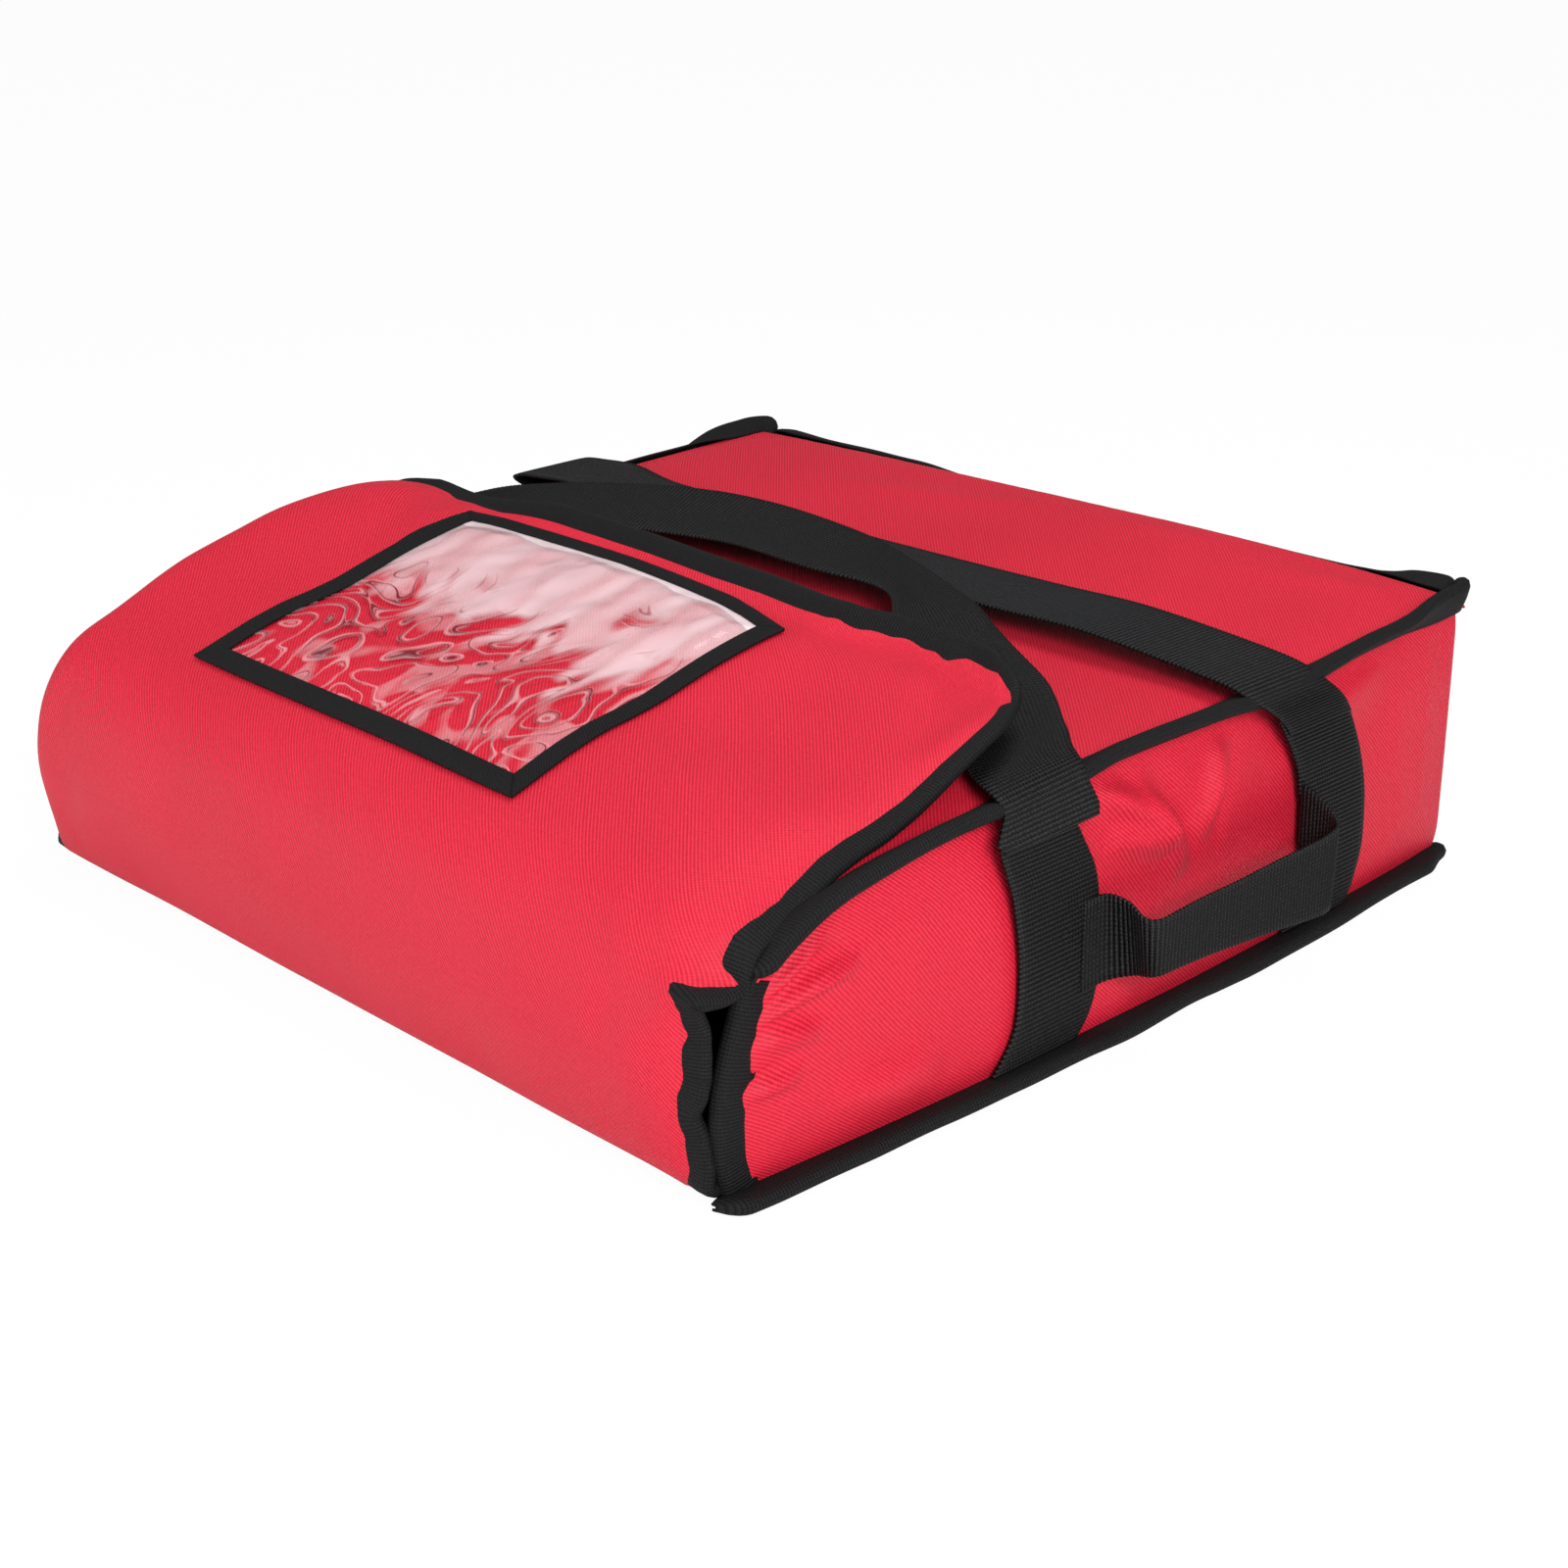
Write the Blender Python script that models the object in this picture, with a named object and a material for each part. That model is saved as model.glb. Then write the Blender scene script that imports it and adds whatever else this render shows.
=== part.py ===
"""Insulated pizza delivery bag: a soft padded box with a wrap-over front flap.

The bottom panel runs on past the front edge as one long flap. It closes the
mouth, folds back over the top panel and holds there with hook-and-loop tape.
Two carry loops of webbing lie on the top, and each side wall has a grab handle.
The frame is metres, +Z up, +X to the bag's right side, -Y to its mouth, with
the origin on the floor under the middle of the bag.
"""

import math

import bmesh
import bpy
from mathutils import Vector

# Bag body
WIDTH = 0.501            # across the side walls at the top seam
DEPTH = 0.516            # front fold of the bottom panel to the back wall
HEIGHT = 0.129           # floor to the top seam over the rear half
MOUTH_SETBACK = 0.027    # top panel's front edge behind the front fold
SIDE_BOW = 0.010         # bottom edge of a side wall pushed out at mid depth
SIDE_BULGE = 0.004       # side wall's own bulge at half height
BACK_BULGE = 0.004
CROWN = 0.004            # top panel puffed up in the middle
DIP_RUN = 0.205          # the top slopes down to the mouth over this length
SLOPE_DIP = 0.010        # drop of the long slope
NOSE_DIP = 0.018         # extra drop that rounds the top over at the mouth
FOLD_RADIUS = 0.016      # outer radius of the fold where the floor turns up

# Cloth layers, from the outside in
OXFORD = 0.0010
FOAM = 0.0080
FOIL = 0.0006
GAP = 0.0003
TAPE = 0.0012            # thickness of the binding tape

# Seam bindings, the bound raw edges that stand out along the box seams
FIN_LENGTH = 0.010
FIN_THICKNESS = 0.0034
TOP_FIN_ANGLE = math.radians(30)
BOTTOM_FIN_ANGLE = math.radians(10)
BOTTOM_FIN_LENGTH = 0.012
BINDING_LEG = 0.011      # how far a folded binding reaches over each face

# Flap
FLAP_MARGIN = 0.005      # the flap is this much narrower than the box on each side
FLAP_REACH = 0.197       # the closed flap covers this much of the top panel
FLAP_CORNER = 0.045      # radius of its rear corners
FLAP_LIFT = 0.0045       # flap above the top panel where the fastener tapes lie
FLAP_REAR_LIFT = 0.0200  # flap above the top panel at its rear edge
FLAP_LIFT_RUN = 0.096    # this far behind the mouth the flap starts to lift
FLAP_BROW_RUN = 0.020    # and here its front face has turned over onto the top
NOSE_SHARES = ((-0.16, 0.31), (-0.15, 0.52), (-0.04, 0.70), (0.12, 0.82), (0.42, 0.93))
FLAP_TOP_SHARES = (0.20, 0.40, 0.60, 0.80, 1.00)
BEND_SHARE = 0.70        # height of the flap's bend line, as a share of the brow's height

# Hook-and-loop tapes
FASTENER_MARGIN = 0.0605 # from a side wall to the end of the tape
FASTENER_SETBACK = 0.053 # behind the mouth
FASTENER_WIDTH = 0.045
FASTENER_THICKNESS = 0.0016

# Ticket window
WINDOW_X = -0.030        # centre of the window across the flap
WINDOW_WIDTH = 0.238
WINDOW_LENGTH = 0.172
WINDOW_MARGIN = 0.016    # red strip between the window and the flap's rear edge
FRAME_TAPE = 0.019       # width of the tape round the window
VINYL = 0.0005
VINYL_LAP = 0.007        # vinyl hidden under the tape

# Webbing
WEBBING = 0.050
WEBBING_THICKNESS = 0.0016
WEBBING_GAP = 0.0006     # webbing to the bulging wall that it is sewn to
STRAP_FOOT_Z = 0.0085    # strap ends just above the bottom seam binding
SEWN_Z = 0.075           # the straps are sewn to the wall up to here
STANDOFF_Z = 0.045       # above this the straps hang straight off the wall's widest line
FIN_CLEARANCE = 0.0006

# Front strap and its carry loop
FRONT_STRAP_RUN = 0.1705 # strap centre behind the mouth, at its foot
FRONT_LEAN = 0.014       # the strap leans forward this far on its way up the wall
FRONT_EDGE_RISE = 0.0084 # strap centre over the top seam where it crosses it
FRONT_EDGE_TILT = 0.09   # rise over run across the webbing, rear edge up
EDGE_STAND = 0.0035      # webbing runs on this far above the top seam before it turns over
LOOP_APEX_X = -0.030
LOOP_REACH = 0.114       # the loop's middle lies this far behind its straps' feet
LOOP_APEX_RISE = 0.0295  # middle of the loop over the top seam
LOOP_HALF = 0.155        # half span of the free part of the front loop
LOOP_DROP = 0.0500       # how far its ends lie in front of its middle
LOOP_END_RISE = 0.0210
LOOP_TILT = 0.36
LOOP_END_TILT = 0.22

# Rear strap and its carry loop
REAR_STRAP_INSET = 0.103 # strap centre in front of the back wall
REAR_LAP = 0.012         # the loop's ends lap over the sewn straps by this
REAR_LEAN = 0.050
REAR_MIDDLE_RUN = 0.077  # the loop's middle lies this far in front of the straps
REAR_EDGE_RISE = 0.018   # arch over the right top edge
REAR_LEFT_RISE = 0.0095  # the loop hugs the left top edge
REAR_MIDDLE_RISE = 0.0155
REAR_EDGE_RUN = 0.054    # and where it crosses the top seam, this far

# Grab handles
GRAB_WEBBING = 0.038
GRAB_Z = 0.045           # centre height
GRAB_REACH = 0.027       # how far the slack webbing stands off the wall
GRAB_FOOT = 0.016        # sewn foot at each end
GRAB_TURN = 0.020        # length of the turn from a foot to the grip

# Shares that shape the turns of cloth and webbing
SHOULDER_SHARE = 0.28    # part of the flap's upper length that rounds over the brow
STRAP_RISE_SHARES = (0.35, 0.70, 1.00)
STRAP_TURN_SHARES = (0.0, 0.35, 0.70, 1.0)
GRAB_TURN_SHARES = ((0.35, 0.20), (0.80, 0.60), (0.97, 1.10))
STRAP_SWEEP_POWER = 1.2  # how late the front strap swings back towards its loop
SMOOTH_ANGLE = math.radians(35)

HALF = WIDTH / 2
FLAP_HALF = HALF - FLAP_MARGIN
FASTENER_HALF = HALF - FASTENER_MARGIN
BACK_Y = DEPTH / 2
REAR_STRAP_Y = BACK_Y - REAR_STRAP_INSET
REAR_MIDDLE_Y = REAR_STRAP_Y - REAR_MIDDLE_RUN
REAR_EDGE_Y = REAR_STRAP_Y - REAR_EDGE_RUN
FRONT_EDGE_Z = HEIGHT + FRONT_EDGE_RISE
LOOP_APEX_Z = HEIGHT + LOOP_APEX_RISE
LOOP_END_Z = HEIGHT + LOOP_END_RISE
FOLD_Y = -DEPTH / 2
CURL_Y = FOLD_Y + FOLD_RADIUS
MOUTH_Y = FOLD_Y + MOUTH_SETBACK
DIP_START_Y = MOUTH_Y + DIP_RUN
FLAP_REAR_Y = MOUTH_Y + FLAP_REACH
FLAP_LIFT_Y = MOUTH_Y + FLAP_LIFT_RUN
FLAP_BROW_Y = MOUTH_Y + FLAP_BROW_RUN
FASTENER_FRONT_Y = MOUTH_Y + FASTENER_SETBACK
FRONT_STRAP_Y = MOUTH_Y + FRONT_STRAP_RUN
LOOP_APEX_Y = FRONT_STRAP_Y + LOOP_REACH
PADDING = OXFORD + GAP + FOAM + GAP + FOIL
TOP_OUT = FIN_THICKNESS * math.sin(TOP_FIN_ANGLE) + FIN_LENGTH * math.cos(TOP_FIN_ANGLE)
HANG_X = HALF + GAP + TOP_OUT + FIN_CLEARANCE + WEBBING_THICKNESS / 2
LAYERS = (
    ("shell", 0.0, OXFORD),
    ("foam", OXFORD + GAP, OXFORD + GAP + FOAM),
    ("lining", OXFORD + GAP + FOAM + GAP, PADDING),
)


def remove_everything():
    for old in list(bpy.data.objects):
        bpy.data.objects.remove(old, do_unlink=True)


def principled(name, colour, roughness, alpha=1.0):
    material = bpy.data.materials.new(name)
    material.use_nodes = True
    shader = material.node_tree.nodes["Principled BSDF"]
    shader.inputs["Base Color"].default_value = (*colour, 1.0)
    shader.inputs["Roughness"].default_value = roughness
    shader.inputs["Metallic"].default_value = 0.0
    shader.inputs["Alpha"].default_value = alpha
    return material


def spread(low, high, steps):
    return [low + (high - low) * i / steps for i in range(steps + 1)]


def box_rows(back):
    """Stations from the mouth to the back, closer together where the top dips."""
    middle = DIP_START_Y - (DIP_START_Y - MOUTH_Y) / 2
    return spread(MOUTH_Y, middle, 7) + spread(middle, BACK_Y, 7)[1:-1] + [back]


def between(values, low, high):
    """Stations strictly inside low..high, with the two ends added."""
    inner = [v for v in values if low + GAP < v < high - GAP]
    return [low] + inner + [high]


# Shape of the box

def edge_height(y):
    """Height of the top seam: level at the back, dipping to the mouth."""
    share = max(0.0, (DIP_START_Y - y) / (DIP_START_Y - MOUTH_Y))
    return HEIGHT - SLOPE_DIP * share - NOSE_DIP * share ** 6


def crown(x, y):
    """Puff of the top panel, and of the flap that lies on it."""
    middle = (BACK_Y + MOUTH_Y) / 2
    reach = (BACK_Y - MOUTH_Y) / 2
    along = max(0.0, 1 - ((y - middle) / reach) ** 4)
    return CROWN * (1 - (x / HALF) ** 2) * along


def bow(y):
    return max(0.0, 1 - (y / BACK_Y) ** 2)


def bottom_half(y):
    return HALF + SIDE_BOW * bow(y)


def wall_x(y, z):
    """Outer face of a side wall: bowed out at its foot, bulged at half height."""
    share = min(1.0, z / edge_height(max(y, MOUTH_Y)))
    return HALF + bow(y) * (SIDE_BOW * (1 - share) + SIDE_BULGE * math.sin(math.pi * share))


def wall_front(z):
    """Front edge of a side wall, leaning back as it rises."""
    share = (z - PADDING) / (edge_height(MOUTH_Y) - 2 * PADDING)
    share = min(1.0, max(0.0, share))
    start = CURL_Y - GAP
    return start + (MOUTH_Y - start) * math.sin(share * math.pi / 2) ** 2


# Shape of the flap

def catmull_rom(points, steps):
    """Smooth curve through the points, with each end carried straight on."""
    first = 2 * points[0] - points[1]
    last = 2 * points[-1] - points[-2]
    padded = [first, *points, last]
    curve = []
    for i in range(1, len(padded) - 2):
        a, b, c, d = padded[i - 1:i + 3]
        for step in range(steps):
            t = step / steps
            curve.append(0.5 * (2 * b + (c - a) * t + (2 * a - 5 * b + 4 * c - d) * t ** 2
                                + (3 * b - a - 3 * c + d) * t ** 3))
    curve.append(points[-1])
    return curve


def flap_points():
    """Side profile of the flap's outer face, as (y, z) from the fold to the rear edge."""
    def over_top(y):
        share = max(0.0, (y - FLAP_LIFT_Y) / (FLAP_REAR_Y - FLAP_LIFT_Y))
        lift = FLAP_LIFT + (FLAP_REAR_LIFT - FLAP_LIFT) * math.sin(share * math.pi / 2)
        return Vector((y, edge_height(y) + PADDING + lift))

    start = Vector((FOLD_Y, FOLD_RADIUS))
    brow = over_top(FLAP_BROW_Y)
    points = [start]
    for y_share, z_share in NOSE_SHARES:
        y = start.x + y_share * (brow.x - start.x)
        points.append(Vector((y, start.y + z_share * (brow.y - start.y))))
    points.append(brow)
    for share in FLAP_TOP_SHARES:
        points.append(over_top(FLAP_BROW_Y + share * (FLAP_REAR_Y - FLAP_BROW_Y)))
    return points


PROFILE = catmull_rom(flap_points(), 12)
PROFILE_RUN = [0.0]
for here, there in zip(PROFILE, PROFILE[1:]):
    PROFILE_RUN.append(PROFILE_RUN[-1] + (there - here).length)
FLAP_LENGTH = PROFILE_RUN[-1]


def profile_at(run):
    """Point and outward normal of the flap's profile at a length along it."""
    index = 0
    while index < len(PROFILE_RUN) - 2 and PROFILE_RUN[index + 1] < run:
        index += 1
    share = (run - PROFILE_RUN[index]) / (PROFILE_RUN[index + 1] - PROFILE_RUN[index])
    point = PROFILE[index].lerp(PROFILE[index + 1], share)

    def normal(i):
        tangent = PROFILE[min(i + 1, len(PROFILE) - 1)] - PROFILE[max(i - 1, 0)]
        return Vector((-tangent.y, tangent.x)).normalized()

    mixed = normal(index).lerp(normal(index + 1), max(0.0, min(1.0, share)))
    return point, mixed.normalized()


def run_where(test):
    """First length along the profile whose point passes the test."""
    for point, run in zip(PROFILE, PROFILE_RUN):
        if test(point):
            return run
    return FLAP_LENGTH


BEND_Z = FOLD_RADIUS + BEND_SHARE * (edge_height(FLAP_BROW_Y) + PADDING + FLAP_LIFT - FOLD_RADIUS)
BEND_RUN = run_where(lambda point: point.y >= BEND_Z)
FRONT_RUNS = spread(GAP, BEND_RUN - GAP / 2, 6)
TOP_RUNS = spread(BEND_RUN + GAP / 2, BEND_RUN + SHOULDER_SHARE * (FLAP_LENGTH - BEND_RUN), 6)
TOP_RUNS += spread(TOP_RUNS[-1], FLAP_LENGTH, 10)[1:]


def flap_place(x, run, depth):
    point, normal = profile_at(run)
    spot = point + normal * (crown(x, point.x) - depth)
    return Vector((x, spot.x, spot.y))


# Building

def pivot(name, location):
    """Empty on a joint's axis that carries the moving pieces."""
    empty = bpy.data.objects.new(name, None)
    empty.location = location
    PARTS.objects.link(empty)
    return empty


def slab(name, material, columns, rows, place, body=None):
    """Closed sheet: a grid of columns by rows, given its thickness and bent by place.

    place(column, row, side) gives a point; side is 0 on the outer face and 1 on the inner.
    """
    shape = bmesh.new()
    bmesh.ops.create_grid(shape, x_segments=columns, y_segments=rows, size=1)
    skin = bmesh.ops.extrude_face_region(shape, geom=shape.faces[:])
    lifted = {item for item in skin["geom"] if isinstance(item, bmesh.types.BMVert)}
    offset = body.location if body else Vector()
    for vertex in shape.verts:
        column = round((vertex.co.x + 1) / 2 * columns)
        row = round((vertex.co.y + 1) / 2 * rows)
        side = 1 if vertex in lifted else 0
        vertex.co = Vector(place(column, row, side)) - offset
    if shape.calc_volume(signed=True) < 0:
        bmesh.ops.reverse_faces(shape, faces=shape.faces)
    mesh = bpy.data.meshes.new(name)
    shape.to_mesh(mesh)
    shape.free()
    mesh.shade_smooth()
    mesh.set_sharp_from_angle(angle=SMOOTH_ANGLE)
    mesh.materials.append(material)
    piece = bpy.data.objects.new(name, mesh)
    PARTS.objects.link(piece)
    if body:
        piece.parent = body
    return piece


def ribbon(name, material, rails, thickness, body=None):
    """Webbing between two rails, thickened evenly to both sides of the sheet."""
    def place(column, row, side):
        before = max(column - 1, 0)
        after = min(column + 1, len(rails) - 1)
        tangent = (rails[after][0] + rails[after][1]) - (rails[before][0] + rails[before][1])
        across = rails[column][1] - rails[column][0]
        normal = across.cross(tangent).normalized()
        return rails[column][row] + normal * thickness * (0.5 - side)

    return slab(name, material, len(rails) - 1, 1, place, body)


def channel(corner, side):
    """Binding folded round the raw edge of the padded cloth: one corner of its section.

    Corners run 0..3 from the outer leg round the edge to the inner leg, side 0 is
    the face that lies on the cloth and side 1 the outer face of the tape.
    """
    grow = GAP + side * TAPE
    inset = (BINDING_LEG, -grow, -grow, BINDING_LEG)[corner]
    level = (-grow, -grow, PADDING + grow, PADDING + grow)[corner]
    return inset, level


def make_bottom():
    flat = spread(BACK_Y, CURL_Y, 9)
    curl = spread(0.0, math.pi / 2, 4)[1:]
    for layer, outer, inner in LAYERS:
        def place(column, row, side, outer=outer, inner=inner):
            depth = inner if side else outer
            if row < len(flat):
                y = min(flat[row], BACK_Y - outer)
                z = depth
            else:
                angle = curl[row - len(flat)]
                y = CURL_Y - (FOLD_RADIUS - depth) * math.sin(angle)
                z = FOLD_RADIUS - (FOLD_RADIUS - depth) * math.cos(angle)
            x = (column / 3 - 1) * (bottom_half(y) - outer)
            return x, y, z
        slab(f"bottom_{layer}", MATERIALS[layer], 6, len(flat) + len(curl) - 1, place)


def make_top():
    for layer, outer, inner in LAYERS:
        rows = box_rows(BACK_Y - outer)

        def place(column, row, side, outer=outer, inner=inner, rows=rows):
            x = (column / 4 - 1) * (HALF - outer)
            y = rows[row]
            depth = inner if side else outer
            return x, y, edge_height(y) + crown(x, y) - depth
        slab(f"top_{layer}", MATERIALS[layer], 8, len(rows) - 1, place)


def make_side_wall(name, side_sign):
    for layer, outer, inner in LAYERS:
        margin = inner + GAP
        rows = box_rows(BACK_Y - margin)

        def place(column, row, side, outer=outer, inner=inner, margin=margin, rows=rows):
            along = (rows[column] - MOUTH_Y) / (rows[-1] - MOUTH_Y)
            z = margin + row / 6 * (edge_height(rows[column]) - 2 * margin)
            y = wall_front(z) * (1 - along) + rows[-1] * along
            depth = inner if side else outer
            return side_sign * (wall_x(y, z) - depth), y, z
        slab(f"{name}_{layer}", MATERIALS[layer], len(rows) - 1, 6, place)


def make_back_wall():
    for layer, outer, inner in LAYERS:
        margin = inner + GAP

        def place(column, row, side, outer=outer, inner=inner, margin=margin):
            x = (column / 4 - 1) * (HALF - outer)
            share = row / 5
            z = margin + share * (HEIGHT - 2 * margin)
            depth = inner if side else outer
            bulge = BACK_BULGE * (1 - (x / HALF) ** 2) * math.sin(math.pi * share)
            return x, BACK_Y + bulge - depth, z
        slab(f"back_{layer}", MATERIALS[layer], 8, 5, place)


def fin_section(angle, length, corner, side):
    """Section of a seam binding: distance out from the seam and height above it."""
    along = GAP + FIN_THICKNESS / 2 * math.sin(angle) + (length if corner else 0.0) * math.cos(angle)
    rise = (length if corner else 0.0) * math.sin(angle)
    shift = FIN_THICKNESS * (side - 0.5)
    return along + shift * math.sin(angle), rise - shift * math.cos(angle)


def make_seam_bindings():
    tape = MATERIALS["binding"]
    bottom_level = GAP + FIN_THICKNESS / 2
    corner_reach = GAP + TOP_OUT
    for name, sign in (("right", 1), ("left", -1)):
        rows = box_rows(BACK_Y)

        def top_edge(column, row, side, rows=rows, sign=sign):
            out, rise = fin_section(TOP_FIN_ANGLE, FIN_LENGTH, row, side)
            return sign * (HALF + out), rows[column], edge_height(rows[column]) + rise
        slab(f"top_binding_{name}", tape, len(rows) - 1, 1, top_edge)

        low_rows = spread(CURL_Y, BACK_Y, 12)

        def bottom_edge(column, row, side, rows=low_rows, sign=sign):
            out, rise = fin_section(BOTTOM_FIN_ANGLE, BOTTOM_FIN_LENGTH, row, side)
            return sign * (bottom_half(rows[column]) + out), rows[column], bottom_level + rise
        slab(f"bottom_binding_{name}", tape, 12, 1, bottom_edge)

    def top_back(column, row, side):
        out, rise = fin_section(TOP_FIN_ANGLE, FIN_LENGTH, row, side)
        return (column / 4 - 1) * (HALF + corner_reach), BACK_Y + GAP + out, HEIGHT + rise
    slab("top_binding_back", tape, 8, 1, top_back)

    def bottom_back(column, row, side):
        out, rise = fin_section(BOTTOM_FIN_ANGLE, BOTTOM_FIN_LENGTH, row, side)
        return (column / 4 - 1) * (HALF + corner_reach), BACK_Y + GAP + out, bottom_level + rise
    slab("bottom_binding_back", tape, 8, 1, bottom_back)


def make_mouth_bindings():
    tape = MATERIALS["binding"]
    inner_margin = PADDING + GAP + TAPE + GAP
    for name, sign in (("right", 1), ("left", -1)):
        heights = spread(inner_margin, edge_height(MOUTH_Y) - inner_margin, 6)

        def wall_edge(column, row, side, heights=heights, sign=sign):
            z = heights[column]
            inset, level = channel(row, side)
            y = wall_front(z) + inset
            return sign * (wall_x(y, z) - level), y, z
        slab(f"mouth_binding_{name}", tape, 6, 3, wall_edge)

    half = HALF - inner_margin

    def top_edge(column, row, side):
        x = (column / 5 - 1) * half
        inset, level = channel(row, side)
        y = MOUTH_Y + inset
        return x, y, edge_height(max(y, MOUTH_Y)) + crown(x, max(y, MOUTH_Y)) - level
    slab("mouth_binding_top", tape, 10, 3, top_edge)


def make_flap_cloth(name, runs, corner, body):
    """Three cloth layers of one length of the flap; corner rounds its far end."""
    for layer, outer, inner in LAYERS:
        def place(column, row, side, outer=outer, inner=inner):
            run = runs[row]
            left = max(0.0, corner - (FLAP_LENGTH - run)) if corner else 0.0
            half = FLAP_HALF - corner + math.sqrt(max(0.0, corner ** 2 - left ** 2)) if corner else FLAP_HALF
            x = (column / 5 - 1) * half
            return flap_place(x, run, inner if side else outer)
        slab(f"{name}_{layer}", MATERIALS[layer], 10, len(runs) - 1, place, body)


def bound_edge(path, name, body):
    """Folded binding along a path of (x, run, outward x, outward run)."""
    def place(column, row, side):
        x, run, out_x, out_run = path[column]
        inset, level = channel(row, side)
        return flap_place(x - out_x * inset, run - out_run * inset, level)
    slab(name, MATERIALS["binding"], len(path) - 1, 3, place, body)


def make_flap(front_body, top_body):
    make_flap_cloth("flap_front", FRONT_RUNS, 0.0, front_body)
    start = FRONT_RUNS[0]
    for name, sign in (("right", 1), ("left", -1)):
        path = [(sign * FLAP_HALF, max(run, start), sign, 0.0) for run in FRONT_RUNS]
        bound_edge(path, f"flap_front_binding_{name}", front_body)

    arc = spread(0.0, math.pi / 2, 6)
    corner_start = FLAP_LENGTH - FLAP_CORNER
    straight = between(TOP_RUNS, TOP_RUNS[0], corner_start)
    rounded = [corner_start + FLAP_CORNER * math.sin(angle) for angle in arc]
    make_flap_cloth("flap_top", straight + rounded[1:], FLAP_CORNER, top_body)

    centre_x = FLAP_HALF - FLAP_CORNER
    path = [(FLAP_HALF, run, 1.0, 0.0) for run in straight]
    for angle in arc[1:]:
        path.append((centre_x + FLAP_CORNER * math.cos(angle), corner_start + FLAP_CORNER * math.sin(angle),
                     math.cos(angle), math.sin(angle)))
    for x in spread(centre_x, -centre_x, 8)[1:-1]:
        path.append((x, FLAP_LENGTH, 0.0, 1.0))
    right_side = path[:len(straight) + len(arc) - 1]
    path += [(-x, run, -out_x, out_run) for x, run, out_x, out_run in reversed(right_side)]
    bound_edge(path, "flap_top_binding", top_body)


def flap_patch(name, material, x_low, x_high, run_low, run_high, depths, body):
    """Flat piece lying on the flap, cut at the flap's own stations."""
    runs = between(TOP_RUNS, run_low, run_high)
    steps = max(1, round((x_high - x_low) / (FLAP_HALF / 5)))
    columns = spread(x_low, x_high, steps)

    def place(column, row, side):
        return flap_place(columns[column], runs[row], depths[side])
    slab(name, material, steps, len(runs) - 1, place, body)


def make_window(body):
    rear = FLAP_LENGTH - BINDING_LEG - WINDOW_MARGIN / 4
    front = rear - WINDOW_LENGTH
    left = WINDOW_X - WINDOW_WIDTH / 2
    right = WINDOW_X + WINDOW_WIDTH / 2
    vinyl = (-(GAP + VINYL), -GAP)
    tape = (-(2 * GAP + VINYL + TAPE), -(2 * GAP + VINYL))
    lap = FRAME_TAPE - VINYL_LAP
    flap_patch("window_vinyl", MATERIALS["vinyl"], left + lap, right - lap, front + lap, rear - lap,
               vinyl, body)
    strips = (
        ("front", left, right, front, front + FRAME_TAPE),
        ("rear", left, right, rear - FRAME_TAPE, rear),
        ("left", left, left + FRAME_TAPE, front + FRAME_TAPE + GAP, rear - FRAME_TAPE - GAP),
        ("right", right - FRAME_TAPE, right, front + FRAME_TAPE + GAP, rear - FRAME_TAPE - GAP),
    )
    for name, x_low, x_high, run_low, run_high in strips:
        flap_patch(f"window_tape_{name}", MATERIALS["binding"], x_low, x_high, run_low, run_high,
                   tape, body)


def make_fasteners(flap_body):
    rear_y = FASTENER_FRONT_Y + FASTENER_WIDTH
    low = run_where(lambda point: point.x >= FASTENER_FRONT_Y)
    high = run_where(lambda point: point.x >= rear_y)
    hook = (PADDING + GAP, PADDING + GAP + FASTENER_THICKNESS)
    flap_patch("hook_tape", MATERIALS["hook"], -FASTENER_HALF, FASTENER_HALF, low, high, hook, flap_body)

    rows = between(box_rows(BACK_Y), FASTENER_FRONT_Y, rear_y)

    def loop_place(column, row, side):
        x = (column / 4 - 1) * FASTENER_HALF
        y = rows[row]
        lift = GAP + FASTENER_THICKNESS * (1 - side)
        return x, y, edge_height(y) + crown(x, y) + lift
    slab("loop_tape", MATERIALS["hook"], 8, len(rows) - 1, loop_place)


# Straps

def rails_from(stations):
    """Front and rear rails of webbing from (x, y, z, half width along y, tilt) stations."""
    rails = []
    for x, y, z, half, tilt in stations:
        front = Vector((x, y - half, z - half * tilt))
        rear = Vector((x, y + half, z + half * tilt))
        rails.append((front, rear))
    return rails


def mirrored(rails):
    return [tuple(Vector((-point.x, point.y, point.z)) for point in pair) for pair in rails]


def sewn_x(near_y, z):
    """Middle of webbing sewn on a side wall, whose edge nearest mid depth is near_y."""
    level = min(z, STANDOFF_Z)
    return wall_x(near_y, level) + WEBBING_GAP + WEBBING_THICKNESS / 2


def slant_half(run, rise):
    """Half width of slanted webbing, measured along y."""
    return WEBBING / 2 * math.sqrt(1 + (rise / run) ** 2)


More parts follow.
